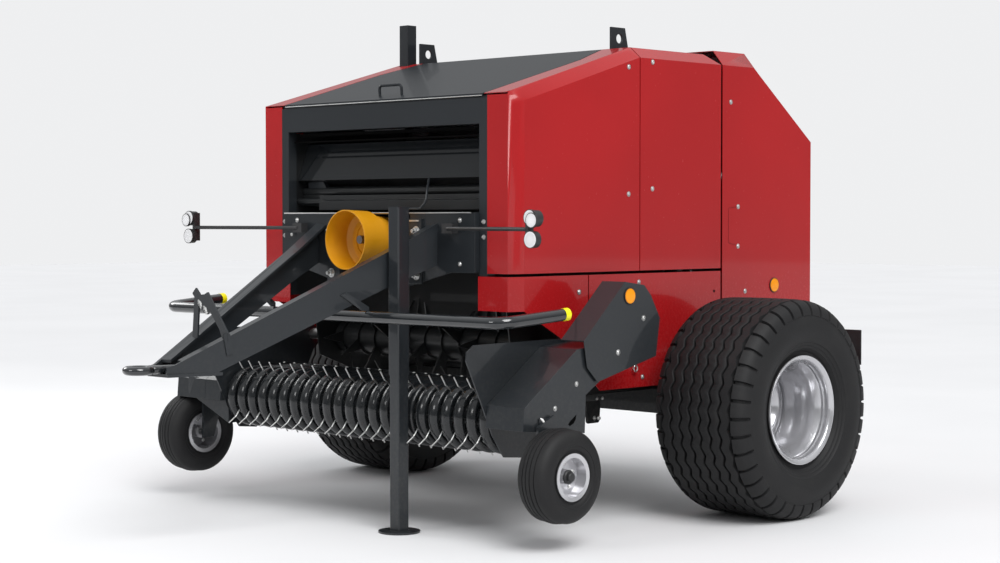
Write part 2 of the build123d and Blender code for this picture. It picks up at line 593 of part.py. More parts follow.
CYL_EYE = (behind(415.0), 1585.0)
with BuildPart() as gate_frame:
    for side in (1, -1):
        x = side * CHAMBER_HALF
        plate(((GATE_FRONT, SILL_Z + 90), (GATE_FRONT, GATE_PIVOT_Z - 70),
               (GATE_PIVOT_Y + 60, GATE_PIVOT_Z - 40), (GATE_CREST_Y, 1900),
               (behind(835.0), 1590), (behind(835.0), 900), (GATE_SOLE_Y - 20, SILL_Z + 130)),
              x, side * WALL)
        plate(((GATE_PIVOT_Y - 24, GATE_PIVOT_Z + 10), (GATE_PIVOT_Y, GATE_PIVOT_Z + 30),
               (GATE_PIVOT_Y + 30, GATE_PIVOT_Z + 26), (GATE_CREST_Y, 1935),
               (GATE_CREST_Y, 1840), (GATE_PIVOT_Y + 20, 1820), (GATE_PIVOT_Y - 24, 1900)),
              x + side * (WALL + 12 + 6), side * 10)
        block((x, x + side * (WALL + 28)), (GATE_CREST_Y - 60, GATE_CREST_Y), (1840, 1890))
        round_x(GATE_PIVOT_Y, GATE_PIVOT_Z, 18 + SEAT, x + side * (WALL + 17),
                x + side * (WALL + 29), mode=Mode.SUBTRACT)
        for y, z in ((behind(835.0), 1590), (behind(835.0), 900), (GATE_CREST_Y, 1870)):
            block((x + side * WALL, side * (BODY_HALF - SHEET - SEAT)), (y - 50, y - 10),
                  (z - 20, z + 20))
        round_x(CYL_EYE[0], CYL_EYE[1], 30, x + side * WALL, side * (CYL_X - 24))
    for z in (900, 1540):
        block((-CHAMBER_HALF, CHAMBER_HALF), (behind(815.0), behind(833.0)), (z - 25, z + 25))
save(gate_frame.part, "tailgate_frame")

# ---- slat conveyors: the two halves of the chamber's rolling surface -------------------
LOOP_R = CHAMBER_R + LOOP_GAP
LOOP_DEPTH = 50.0               # from a loop's inner run to its outer run
HALVES = (
    # name, first angle, last angle from +Y towards +Z
    ("slats_front", 112.0, 196.0),
    ("slats_rear", -62.0, 66.0),
)
for name, first, last in HALVES:
    with BuildPart() as slats:
        count = int((last - first) / SLAT_PITCH_DEG)
        for ring, radius in ((0, LOOP_R), (1, LOOP_R + LOOP_DEPTH)):
            for step in range(count + 1):
                angle = radians(first + (last - first) * step / count)
                round_x(CHAMBER_Y + radius * cos(angle), CHAMBER_Z + radius * sin(angle), SLAT_R,
                        -CHAMBER_HALF + 14, CHAMBER_HALF - 14)
        for side in (1, -1):
            x = side * (CHAMBER_HALF - 14)
            with BuildSketch(Plane.YZ.offset(x)) as link:
                with Locations((CHAMBER_Y, CHAMBER_Z)):
                    Circle(LOOP_R + LOOP_DEPTH + 20)
                    Circle(LOOP_R - 20, mode=Mode.SUBTRACT)
                far = 1500
                points = [(CHAMBER_Y, CHAMBER_Z)]
                for turn in range(5):
                    angle = radians(first - 3 + (last - first + 6) * turn / 4)
                    points.append((CHAMBER_Y + far * cos(angle), CHAMBER_Z + far * sin(angle)))
                with BuildLine():
                    Polyline(*points, close=True)
                make_face(mode=Mode.INTERSECT)
            extrude(link.sketch, amount=side * (14 - SEAT))
    save(slats.part, name)

# ---- drawbar -------------------------------------------------------------------------
NOSE_X, NOSE_Y = CHEEK_NOSE
TUBE_FROM_NOSE = (STAND_X - STAND_TUBE / 2 + TUBE_CORNER - NOSE_X,
                  STAND_Y + STAND_TUBE / 2 - TUBE_CORNER - NOSE_Y)
CHEEK_TURN = degrees(atan2(*TUBE_FROM_NOSE)     # so that the stand's tube lies on the plate
                     - asin((CHEEK / 2 + TUBE_CORNER + SEAT) / hypot(*TUBE_FROM_NOSE)))
BOW_Y = ahead(1497.0)
BOW_Z = 875.0
BOW_R = 24.0
HOSE_POST_Y = ahead(2081.0)      # the hose holder across the drawbar


def cheek_plane(side):
    """The upright plane of a drawbar side plate. Its x runs back from the nose."""
    turn = radians(CHEEK_TURN)
    along = Vector(side * sin(turn), cos(turn), 0)
    return Plane(origin=(side * NOSE_X, NOSE_Y, 0), x_dir=along, z_dir=(side * cos(turn), -sin(turn), 0))


def cheek_run(y):
    """How far behind the nose a side plate reaches a place along Y."""
    return (y - NOSE_Y) / cos(radians(CHEEK_TURN))


with BuildPart() as drawbar:
    tail = cheek_run(CROSS_Y) + 40
    bow_run = cheek_run(BOW_Y)
    for side in (1, -1):
        plane = cheek_plane(side)
        side_plate = ((-30, KEEL_Z), (-30, 704), (0, 709), (913, 1135), (tail - 40, 1250),
                      (tail, 1265), (tail, 1094), (908, 990), (150, KEEL_Z))
        if side > 0:
            extrude(outline(plane, side_plate), amount=CHEEK / 2, both=True)
        else:
            extrude(outline(plane, [(u, -w) for u, w in side_plate]), amount=CHEEK / 2, both=True)
        flip = 1 if side > 0 else -1
        flange = [(35, 725.3), (35, 713.3), (913, 1123), (tail - 40, 1238), (tail - 40, 1250),
                  (913, 1135)]
        extrude(outline(plane, [(u, flip * w) for u, w in flange]), amount=-50)
        strap = [(bow_run - 120, 965), (bow_run - 92, 975), (bow_run + 6, BOW_Z + BOW_R + 16),
                 (bow_run + 6, BOW_Z + BOW_R + SEAT), (bow_run - 22, BOW_Z + BOW_R + SEAT)]
        with BuildSketch(plane.offset(CHEEK / 2)) as arm:
            with BuildLine():
                Polyline(*[(u, flip * w) for u, w in strap], close=True)
            make_face()
        extrude(arm.sketch, amount=6)
    floor_plate(((-66, NOSE_Y - 30), (66, NOSE_Y - 30), (120, NOSE_Y + 190),
                 (-120, NOSE_Y + 190)), KEEL_Z, KEEL)
    block((-700, 700), (CROSS_Y - SEAT, CROSS_Y + 90), (900, 1400), mode=Mode.SUBTRACT)
    for bar in (((-30, 967), (6, 983), (132, 826), (132, 798), (98, 804), (80, 840)),
                ((-91, 976), (-69, 998), (5, 924), (-17, 902)),
                ((-75, 966), (-20, 974), (30, 926), (5, 896), (-36, 924)),
                ((-92, 800), (-78, 962), (-48, 962), (-60, 800))):
        cross_plate(bar, HOSE_POST_Y, 8)
    holder_run = cheek_run(HOSE_POST_Y)
    with BuildSketch(cheek_plane(1).offset(CHEEK / 2 - 1)) as clip:
        with BuildLine():
            Polyline((holder_run - 14, 826), (holder_run + 14, 826), (holder_run + 30, 748),
                     (holder_run + 2, 740), close=True)
        make_face()
    extrude(clip.sketch, amount=7)
save(drawbar.part, "drawbar")

EYE_LOW = KEEL_Z + KEEL + SEAT
with BuildPart() as towing_eye:
    eye_y = ahead(TIP_AHEAD) + EYE_R
    with BuildSketch(Plane.XY.offset(EYE_LOW)) as ring:
        with Locations((0, eye_y)):
            Circle(EYE_R)
        with BuildLine():
            Polyline((-36, eye_y + 20), (36, eye_y + 20), (40, NOSE_Y + 120), (-40, NOSE_Y + 120),
                     close=True)
        make_face()
        with Locations((0, eye_y)):
            Circle(EYE_HOLE_R, mode=Mode.SUBTRACT)
    extrude(ring.sketch, amount=EYE_THICK)
save(towing_eye.part, "towing_eye")

WINDOW = 215.0                  # half of the gap that the driveline comes through
with BuildPart() as cross_member:
    for side in (1, -1):
        cross_plate(((side * WINDOW, 990), (side * WINDOW, CROSS_TOP), (side * CROSS_HALF, CROSS_TOP),
                     (side * CROSS_HALF, CROSS_LOW), (side * 455, CROSS_LOW)), CROSS_Y, 10)
        block((side * WINDOW, side * (WINDOW + 80)), (CROSS_Y - 12, CROSS_Y), (1000, 1270))
        plate(((CROSS_Y + 10, CROSS_LOW), (CROSS_Y + 10, CROSS_TOP), (FRONT_Y + POST + 60, CROSS_TOP),
               (FRONT_Y + POST + 60, CROSS_LOW + 60)), side * (CROSS_HALF - 8), side * 8)
    block((-CROSS_HALF, CROSS_HALF), (CROSS_Y, FRONT_Y + POST + 60), (CROSS_TOP - 8, CROSS_TOP))
save(cross_member.part, "cross_member")

# ---- driveline -----------------------------------------------------------------------
BOX_FRONT = ahead(1150.0)
BOX_HALF = 110.0
with BuildPart() as gearbox:
    block((-BOX_HALF, BOX_HALF), (BOX_FRONT, BOX_FRONT + 210), (PTO_Z - 105, PTO_Z + 95))
    fillet(gearbox.edges().filter_by(Axis.Y), 26)
    round_y(0, PTO_Z, 70, BOX_FRONT - 30, BOX_FRONT, bore=PTO_STUB_R + 8)
    reach = CROSS_HALF - 8 - SEAT
    round_x(BOX_FRONT + 105, PTO_Z, 55, -reach, reach)
    for side in (1, -1):
        block((side * (BOX_HALF - 40), side * (BOX_HALF + 20)), (BOX_FRONT + 10, FRONT_Y + POST + 55),
              (PTO_Z + 85, CROSS_TOP - 8 - SEAT))
save(gearbox.part, "gearbox")

with BuildPart() as pto_stub:
    round_y(0, PTO_Z, PTO_STUB_R, BOX_FRONT - 130, BOX_FRONT - SEAT)
save(pto_stub.part, "pto_stub")

SHIELD_R = 125.0
NECK_R = 99.0
with BuildPart() as pto_shield:
    with BuildSketch(Plane.XY) as profile:
        with BuildLine():
            Polyline((SHIELD_R, PTO_MOUTH_Y), (SHIELD_R - 4, PTO_MOUTH_Y),
                     (SHIELD_R - 9, PTO_MOUTH_Y + 112), (NECK_R - 3, PTO_MOUTH_Y + 130),
                     (NECK_R - 4, BOX_FRONT - 4), (72, BOX_FRONT - 4), (72, BOX_FRONT - SEAT),
                     (NECK_R, BOX_FRONT - SEAT), (NECK_R + 2, PTO_MOUTH_Y + 132),
                     (SHIELD_R - 5, PTO_MOUTH_Y + 115), (SHIELD_R, PTO_MOUTH_Y + 8), close=True)
        make_face()
    revolve(profile.sketch, axis=Axis.Y)
save(pto_shield.part.moved(Location((0, 0, PTO_Z))), "pto_shield")

# ---- parking stand -------------------------------------------------------------------
with BuildPart() as stand_tube:
    half = STAND_TUBE / 2
    with BuildSketch(Plane.XY.offset(STAND_LOW)) as tube:
        with Locations((STAND_X, STAND_Y)):
            RectangleRounded(STAND_TUBE, STAND_TUBE, TUBE_CORNER)
            RectangleRounded(STAND_TUBE - 2 * STAND_WALL, STAND_TUBE - 2 * STAND_WALL, 3,
                             mode=Mode.SUBTRACT)
    extrude(tube.sketch, amount=STAND_TOP - STAND_LOW)
    block((STAND_X - half, STAND_X + half), (STAND_Y - half, STAND_Y + half),
          (STAND_TOP - 4, STAND_TOP))
save(stand_tube.part, "stand_tube")

with BuildPart() as stand_leg:
    with BuildSketch(Plane.XY.offset(8)) as tube:
        with Locations((STAND_X, STAND_Y)):
            RectangleRounded(LEG_TUBE, LEG_TUBE, 5)
            RectangleRounded(LEG_TUBE - 8, LEG_TUBE - 8, 2, mode=Mode.SUBTRACT)
    extrude(tube.sketch, amount=LEG_TOP - 8)
    with BuildSketch(Plane.XY) as foot:
        with Locations((STAND_X, STAND_Y)):
            Circle(FOOT_R)
    extrude(foot.sketch, amount=8)
save(stand_leg.part, "stand_leg")

# ---- guard bow and marker lamps ------------------------------------------------------
BOW_END = (1069.5, ahead(1188.0), 899.0)
BOW_BEND = (1041.0, BOW_Y, BOW_Z)
with BuildPart() as guard_bow:
    bent_bar(mirrored([BOW_END, BOW_BEND], -1) + [BOW_BEND, BOW_END], 70, BOW_R,
             bore=BOW_R - 3.5)
save(guard_bow.part, "guard_bow")

with BuildPart() as bow_caps:
    for side in (1, -1):
        start = Vector(side * BOW_END[0], BOW_END[1], BOW_END[2])
        run = (start - Vector(side * BOW_BEND[0], BOW_BEND[1], BOW_BEND[2])).normalized()
        between(start + run * SEAT, start + run * 26, BOW_R + 1)
save(bow_caps.part, "bow_caps")

LAMP_X = 1066.0
LAMP_Y = ahead(1352.0)
LAMP_Z = 1230.0
for name, side in SIDES:
    with BuildPart() as marker:
        between((side * 470, ahead(1222.0), LAMP_Z), (side * (LAMP_X - 30), LAMP_Y, LAMP_Z), 8)
        block((side * 440, side * 500), (ahead(1226.0), CROSS_Y - SEAT), (LAMP_Z - 20, LAMP_Z + 20))
        block((side * (LAMP_X - 34), side * (LAMP_X - 20)), (LAMP_Y - 6, LAMP_Y + 26),
              (LAMP_Z - 60, LAMP_Z + 66))
        round_y(side * LAMP_X, LAMP_Z + 41, 32, LAMP_Y - 14, LAMP_Y + 26)
        round_y(side * LAMP_X, LAMP_Z - 39, 32, LAMP_Y - 14, LAMP_Y + 14)
    save(marker.part, f"marker_lamp_{name}")

# ---- net store seen through the front opening ----------------------------------------
with BuildPart() as net_tray:
    half = CHAMBER_HALF - SEAT
    plate(((ahead(1050.0), 1600), (ahead(1110.0), 1440), (ahead(860.0), 1380),
           (ahead(860.0), 1384), (ahead(1105.0), 1444), (ahead(1046.0), 1600)), -half, 2 * half)
    for y, z, r in ((ahead(1060.0), 1390, 22), (ahead(1100.0), 1345, 16)):
        round_x(y, z, r, -half, half)
    block((-CHAMBER_HALF + SEAT, -455), (ahead(1080.0), ahead(960.0)), (1326, 1376))
save(net_tray.part, "net_tray")

# ---- drive guard on the left ---------------------------------------------------------
GUARD_EDGE = (
    # (y, z) of the drive guard's corners
    (ahead(1037.0), 790), (ahead(789.0), 1017), (ahead(668.0), 1001), (ahead(626.0), 959),
    (ahead(568.0), 864), (ahead(593.0), 709), (ahead(954.0), 623), (ahead(1017.0), 684),
)
with BuildPart() as drive_guard:
    plate(GUARD_EDGE, GUARD_INNER, GUARD_OUTER - GUARD_INNER)
    hollow = ((ahead(1057.0), 767.5), (ahead(788.0), 1011.5), (ahead(670.0), 996),
              (ahead(630.0), 956), (ahead(573.0), 863), (ahead(597.0), 712),
              (ahead(954.0), 500), (ahead(1080.0), 500))
    plate(hollow, GUARD_INNER - 1, GUARD_OUTER - GUARD_INNER + 1 - SHEET, mode=Mode.SUBTRACT)
    round_x(*STANDOFF, STANDOFF_R, CHAMBER_HALF + WALL + SEAT, GUARD_OUTER - 1)
save(drive_guard.part, "drive_guard")

with BuildPart() as pickup_pivot:
    for side, end in ((1, GUARD_OUTER - SHEET - SEAT), (-1, CHEEK_X + 40)):
        round_x(PIVOT_Y, PIVOT_Z, PIVOT_R, side * (CHAMBER_HALF + WALL), side * end)
save(pickup_pivot.part, "pickup_pivot")

# ---- feed rotor ----------------------------------------------------------------------
with BuildPart() as feed_rotor:
    round_x(PIVOT_Y, PIVOT_Z, 70, -CHAMBER_HALF + 12, CHAMBER_HALF - 12)
    round_x(PIVOT_Y, PIVOT_Z, 22, -CHAMBER_HALF - WALL + 1, CHAMBER_HALF + WALL - 1)
    count = 11
    for index in range(count):
        x = -CHAMBER_HALF + 60 + index * (2 * CHAMBER_HALF - 128) / (count - 1)
        with BuildSketch(Plane.YZ.offset(x)) as star:
            with Locations((PIVOT_Y, PIVOT_Z)):
                Circle(80)
                with PolarLocations(0, 4, start_angle=index * 22.5):
                    with Locations((0, 0)):
                        Trapezoid(86, ROTOR_R, 77, align=(Align.CENTER, Align.MIN))
        extrude(star.sketch, amount=8)
save(feed_rotor.part, "feed_rotor")

# ---- pick-up: side plates and rear beam ----------------------------------------------
BAND_BACK = ahead(1010.0)
with BuildPart() as pickup_frame:
    block((-CHEEK_X, CHEEK_X), (BAND_BACK + SEAT, BAND_BACK + 50),
          (REEL_Z - BAND_R, REEL_Z - BAND_R + 50))
    block((-CHEEK_X, CHEEK_X), (BAND_BACK + SEAT, BAND_BACK + 6), (REEL_Z - BAND_R, REEL_Z + BAND_R))
    for side in (1, -1):
        x = side * CHEEK_X
        plate(((ahead(1472.0), 756), (ahead(1477.0), 724), (ahead(1390.0), 548),
               (ahead(1331.0), 423), (ahead(1267.0), 333), (ahead(1170.0), 324),
               (ahead(940.0), 440), (PIVOT_Y + 10, PIVOT_Z - 60), (PIVOT_Y + 60, PIVOT_Z),
               (PIVOT_Y + 30, PIVOT_Z + 50), (ahead(1029.0), 785), (ahead(1434.0), 782)),
              x, side * CHEEK_PLATE)
        round_x(PIVOT_Y, PIVOT_Z, PIVOT_R + SEAT, x - side, x + side * (CHEEK_PLATE + 1),
                mode=Mode.SUBTRACT)
        round_x(REEL_Y, REEL_Z, 24 + SEAT, x - side, x + side * (CHEEK_PLATE + 1),
                mode=Mode.SUBTRACT)
save(pickup_frame.part, "pickup_frame")

with BuildPart() as bands:
    for index in range(BAND_COUNT):
        x = (index - (BAND_COUNT - 1) / 2) * BAND_PITCH - BAND_WIDTH / 2
        with BuildSketch(Plane.YZ.offset(x)) as hoop:
            with BuildLine():
                Line((BAND_BACK, REEL_Z + BAND_R), (REEL_Y, REEL_Z + BAND_R))
                CenterArc((REEL_Y, REEL_Z), BAND_R, 90, 180)
                Line((REEL_Y, REEL_Z - BAND_R), (BAND_BACK, REEL_Z - BAND_R))
                Line((BAND_BACK, REEL_Z - BAND_R), (BAND_BACK, REEL_Z - BAND_R + 3))
                Line((BAND_BACK, REEL_Z - BAND_R + 3), (REEL_Y, REEL_Z - BAND_R + 3))
                CenterArc((REEL_Y, REEL_Z), BAND_R - 3, 270, -180)
                Line((REEL_Y, REEL_Z + BAND_R - 3), (BAND_BACK, REEL_Z + BAND_R - 3))
                Line((BAND_BACK, REEL_Z + BAND_R - 3), (BAND_BACK, REEL_Z + BAND_R))
            make_face()
        extrude(hoop.sketch, amount=BAND_WIDTH)
save(bands.part, "pickup_bands")

# ---- pick-up: tine reel --------------------------------------------------------------
TINE_LEAN = 42.0
TIP_LEAN = 23.0
with BuildPart() as reel:
    half = CHEEK_X - 14
    round_x(REEL_Y, REEL_Z, 24, -CHEEK_X - 4, CHEEK_X + 4)
    for x in (-half, -4, half - 8):
        with BuildSketch(Plane.YZ.offset(x)) as spider:
            with Locations((REEL_Y, REEL_Z)):
                Circle(TINE_BAR_RING + 16)
        extrude(spider.sketch, amount=8)
    for bar in range(TINE_BARS):
        angle = TINE_PHASE + bar * 360 / TINE_BARS
        y = REEL_Y + TINE_BAR_RING * cos(radians(angle))
        z = REEL_Z + TINE_BAR_RING * sin(radians(angle))
        round_x(y, z, 11, -half + 1, half - 1)
        bend_y = y + 95 * cos(radians(angle + TINE_LEAN))
        bend_z = z + 95 * sin(radians(angle + TINE_LEAN))
        tip_y = bend_y + 45 * cos(radians(angle + TIP_LEAN))
        tip_z = bend_z + 45 * sin(radians(angle + TIP_LEAN))
        for index in range(BAND_COUNT - 1):
            x = (index - (BAND_COUNT - 2) / 2) * BAND_PITCH
            between((x, y, z), (x, bend_y, bend_z), TINE_R)
            between((x, bend_y, bend_z), (x, tip_y, tip_z), TINE_R)
save(reel.part, "tine_reel")

# ---- pick-up: outboard cases ---------------------------------------------------------
for name, side in SIDES:
    x0 = CHEEK_X + CHEEK_PLATE + SEAT
    with BuildPart() as case:
        edge = ((PIVOT_Y - 40, PIVOT_Z + 42), (ahead(1062.0), 758), (ahead(1365.0), 545),
                (ahead(1372.0), 457), (ahead(1016.0), 425), (ahead(1010.0), 575),
                (PIVOT_Y + 20, PIVOT_Z - 42), (PIVOT_Y + 42, PIVOT_Z))
        width = CASE_OUTER - x0 if side > 0 else 110
        plate(edge, side * x0, side * width)
        round_x(PIVOT_Y, PIVOT_Z, PIVOT_R + SEAT, side * (x0 - 1), side * (x0 + width + 1),
                mode=Mode.SUBTRACT)
    save(case.part, f"pickup_case_{name}")

# ---- gauge wheels --------------------------------------------------------------------
for name, side in SIDES:
    x = side * GAUGE_X
    inner = GAUGE_X - GAUGE_WIDTH / 2
    with BuildPart() as arm:
        case_end = (CASE_OUTER if side > 0 else CHEEK_X + CHEEK_PLATE + SEAT + 110) + SEAT
        plate(((GAUGE_Y - 30, GAUGE_Z - 20), (GAUGE_Y - 30, 470), (GAUGE_Y + 60, 510),
               (GAUGE_Y + 90, 470), (GAUGE_Y + 30, GAUGE_Z - 20)),
              side * (inner - 22), side * 12)
        if inner - 22 > case_end:
            block((side * case_end, side * (inner - 22)), (GAUGE_Y - 10, GAUGE_Y + 60), (465, 500))
        round_x(GAUGE_Y, GAUGE_Z, 15, side * (inner - 22), side * (GAUGE_X + 30))
    save(arm.part, f"gauge_arm_{name}")

    with BuildPart() as gauge_tyre:
        half = GAUGE_WIDTH / 2
        with BuildSketch(Plane.XY):
            with BuildLine():
                Polyline((-60, 80), (-60, 98), (-half, 130), (-half + 6, 165), (-half + 30, 182),
                         (0, GAUGE_R), (half - 30, 182), (half - 6, 165), (half, 130), (60, 98),
                         (60, 80), (48, 80), (48, 100), (half - 14, 130), (half - 24, 160),
                         (0, 168), (-half + 24, 160), (-half + 14, 130), (-48, 100), (-48, 80),
                         close=True)
            make_face()
        revolve(axis=Axis.X)
    save(gauge_tyre.part.moved(Location((x, GAUGE_Y, GAUGE_Z))), f"gauge_tyre_{name}")

    with BuildPart() as gauge_rim:
        with BuildSketch(Plane.XY):
            with BuildLine():
                Polyline((-66, 92), (-64, 79), (64, 79), (66, 92), (70, 92), (68, 75), (22, 72),
                         (18, 30), (40, 28), (40, 15 + SEAT), (-40, 15 + SEAT), (-40, 28),
                         (12, 30), (16, 75), (-68, 75), (-70, 92), close=True)
            make_face()
        revolve(axis=Axis.X)
    facing = Location((x, GAUGE_Y, GAUGE_Z), (0, 0, 0 if side > 0 else 180))
    save(gauge_rim.part.moved(facing), f"gauge_rim_{name}")

# ---- tailgate lift cylinders ---------------------------------------------------------
for name, side in SIDES:
    run_y, run_z = CYL_EYE[0] - CYL_FOOT[0], CYL_EYE[1] - CYL_FOOT[1]
    length = hypot(run_y, run_z)
    uy, uz = run_y / length, run_z / length
    x = side * CYL_X
    barrel = length * 0.62
    with BuildPart() as cylinder:
        foot = Vector(x, *CYL_FOOT)
        aim = Vector(0, uy, uz)
        with BuildSketch(Plane(origin=foot + aim * 40, z_dir=aim)) as tube:
            Circle(CYL_R)
            Circle(CYL_R - 7, mode=Mode.SUBTRACT)
        extrude(tube.sketch, amount=barrel - 40)
        with BuildSketch(Plane(origin=foot + aim * 24, z_dir=aim)) as base:
            Circle(CYL_R)
        extrude(base.sketch, amount=26)
        round_x(CYL_FOOT[0], CYL_FOOT[1], 34, x - 25, x + 25)
        round_x(CYL_FOOT[0], CYL_FOOT[1], CYL_PIN + SEAT, x - 26, x + 26, mode=Mode.SUBTRACT)
        with BuildSketch(Plane(origin=foot + aim * (barrel - 2), z_dir=aim)) as gland:
            Circle(CYL_R)
            Circle(18 + SEAT, mode=Mode.SUBTRACT)
        extrude(gland.sketch, amount=20)
    save(cylinder.part, f"cylinder_{name}")
    with BuildPart() as rod:
        eye = Vector(x, *CYL_EYE)
        with BuildSketch(Plane(origin=foot + aim * 120, z_dir=aim)) as shaft:
            Circle(18)
        extrude(shaft.sketch, amount=length - 120 - 20)
        with BuildSketch(Plane(origin=foot + aim * 110, z_dir=aim)) as piston:
            Circle(CYL_R - 7 - SEAT)
        extrude(piston.sketch, amount=30)
        round_x(CYL_EYE[0], CYL_EYE[1], 30, x - 22, x + 22)
        round_x(CYL_EYE[0], CYL_EYE[1], CYL_PIN, x, x + side * 30)
    save(rod.part, f"cylinder_rod_{name}")

# ---- rear lamp board -----------------------------------------------------------------
BOARD_Y = behind(TAIL_BEHIND)
with BuildPart() as lamp_board:
    for side in (1, -1):
        block((side * 560, side * 1038), (BOARD_Y - 6, BOARD_Y), (591, 753))
        block((side * 640, side * 700), (GATE_REAR_Y + SEAT, BOARD_Y - 6), (700, 940))
save(lamp_board.part, "lamp_board")
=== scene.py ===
"""Dresses the round baler: treads, bands, fasteners, lamps, finishes, and a studio around it.

Lengths are metres. +Z is up, travel is towards -Y and the machine's own left side is +X.
"""
import json
import logging
from dataclasses import dataclass, field
from enum import Enum
from math import asin, cos, pi, radians, sin
from typing import Any, ClassVar, Sequence

import bmesh
import bpy
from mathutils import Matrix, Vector


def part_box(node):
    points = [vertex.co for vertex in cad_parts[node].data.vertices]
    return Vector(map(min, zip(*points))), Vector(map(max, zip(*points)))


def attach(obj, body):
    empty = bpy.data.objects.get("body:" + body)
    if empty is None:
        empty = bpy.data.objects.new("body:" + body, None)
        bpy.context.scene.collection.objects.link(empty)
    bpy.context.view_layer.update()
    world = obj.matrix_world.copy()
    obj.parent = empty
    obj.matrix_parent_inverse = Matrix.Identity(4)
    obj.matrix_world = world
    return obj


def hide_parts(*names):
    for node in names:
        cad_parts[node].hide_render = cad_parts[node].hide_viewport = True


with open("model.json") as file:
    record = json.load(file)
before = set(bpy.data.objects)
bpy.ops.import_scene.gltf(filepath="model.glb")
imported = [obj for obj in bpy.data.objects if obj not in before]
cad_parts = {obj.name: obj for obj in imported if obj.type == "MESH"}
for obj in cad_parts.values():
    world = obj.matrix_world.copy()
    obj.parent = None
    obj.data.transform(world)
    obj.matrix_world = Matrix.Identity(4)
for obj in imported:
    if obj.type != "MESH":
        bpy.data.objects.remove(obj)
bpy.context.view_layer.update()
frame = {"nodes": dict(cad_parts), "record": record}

logging.basicConfig(level=logging.INFO, format="%(levelname)s %(message)s")
LOG = logging.getLogger("round_baler")

Colour = tuple[float, float, float]
Point = tuple[float, float, float]
Profile = Sequence[tuple[float, float]]

AHEAD = Vector((0, -1, 0))
BACK = Vector((0, 1, 0))
SINK = 0.0002           # how far a small piece is let into the surface that it sits on
WELD = 2e-5             # points nearer than this are one
ON_AXIS = 1e-6          # a smaller radius needs no end cap
ROUNDING_STEPS = 2      # faces across a rounded edge


class Side(Enum):
    """One side of the machine, seen by someone facing forwards."""

    LEFT = 1
    RIGHT = -1

    @property
    def word(self) -> str:
        """The side's name as the CAD nodes end."""
        return self.name.lower()

    @property
    def out(self) -> Vector:
        """Direction away from the machine's middle."""
        return Vector((self.value, 0, 0))


# ---- shader trees ----------------------------------------------------------------------
class Socket:
    """An output of a shader tree. Arithmetic on it adds nodes to the tree."""

    def __init__(self, tree: "Nodes", end: bpy.types.NodeSocket) -> None:
        """Wraps one output socket."""
        self.tree = tree
        self.end = end

    @property
    def is_vector(self) -> bool:
        """Whether the socket carries a vector."""
        return self.end.type == "VECTOR"

    def _math(self, operation: str, *values: Any) -> "Socket":
        """Adds the node for an operation.

        Args:
            operation: Name of the Math or Vector Math operation.
            values: Operands in order: sockets, numbers, or tuples with a vector.

        Returns:
            The operation's result.
        """
        if any(isinstance(value, Socket) and value.is_vector for value in values):
            operands = [value if isinstance(value, (Socket, tuple)) else (value,) * 3
                        for value in values]
            return self.tree.add("ShaderNodeVectorMath", {"operation": operation},
                                 dict(enumerate(operands)))
        return self.tree.add("ShaderNodeMath", {"operation": operation}, dict(enumerate(values)))

    def __add__(self, other: Any) -> "Socket":
        """self + other."""
        return self._math("ADD", self, other)

    def __radd__(self, other: Any) -> "Socket":
        """other + self."""
        return self._math("ADD", other, self)

    def __sub__(self, other: Any) -> "Socket":
        """self - other."""
        return self._math("SUBTRACT", self, other)

    def __rsub__(self, other: Any) -> "Socket":
        """other - self."""
        return self._math("SUBTRACT", other, self)

    def __mul__(self, other: Any) -> "Socket":
        """self * other."""
        return self._math("MULTIPLY", self, other)

    def __rmul__(self, other: Any) -> "Socket":
        """other * self."""
        return self._math("MULTIPLY", other, self)

    def band(self, low: float, high: float) -> "Socket":
        """0 below low, 1 above high, and a smooth rise between them."""
        return self.tree.add("ShaderNodeMapRange", {"interpolation_type": "SMOOTHSTEP"},
                             {"Value": self, "From Min": low, "From Max": high})

    def part(self, axis: str) -> "Socket":
        """One component of a vector: X, Y or Z."""
        split = self.tree.node("ShaderNodeSeparateXYZ", {}, {0: self})
        return Socket(self.tree, split.outputs[axis])


class Nodes:
    """A node tree that is filled through one method."""

    def __init__(self, tree: bpy.types.NodeTree) -> None:
        """Opens a tree.

        Args:
            tree: The tree of a material or a world.
        """
        self.nodes = tree.nodes
        self.links = tree.links

    def feed(self, node: bpy.types.Node, sockets: dict[Any, Any]) -> None:
        """Sets or links a node's inputs, given by name or by place."""
        for key, value in sockets.items():
            if isinstance(value, Socket):
                self.links.new(value.end, node.inputs[key])
            else:
                node.inputs[key].default_value = value

    def node(self, kind: str, settings: dict[str, Any], sockets: dict[Any, Any]) -> bpy.types.Node:
        """Adds any node.

        Args:
            kind: Node type.
            settings: Properties, which are set first.
            sockets: Values or links of the inputs.

        Returns:
            The new node.
        """
        made = self.nodes.new(kind)
        for key, value in settings.items():
            setattr(made, key, value)
        self.feed(made, sockets)
        return made

    def output(self, kind: str, name: str) -> Socket:
        """A named output of a node that needs no settings."""
        return Socket(self, self.node(kind, {}, {}).outputs[name])

    def add(self, kind: str, settings: dict[str, Any], sockets: dict[Any, Any]) -> Socket:
        """Adds any node and returns its first output that is in use."""
        made = self.node(kind, settings, sockets)
        return Socket(self, next(end for end in made.outputs if end.enabled))


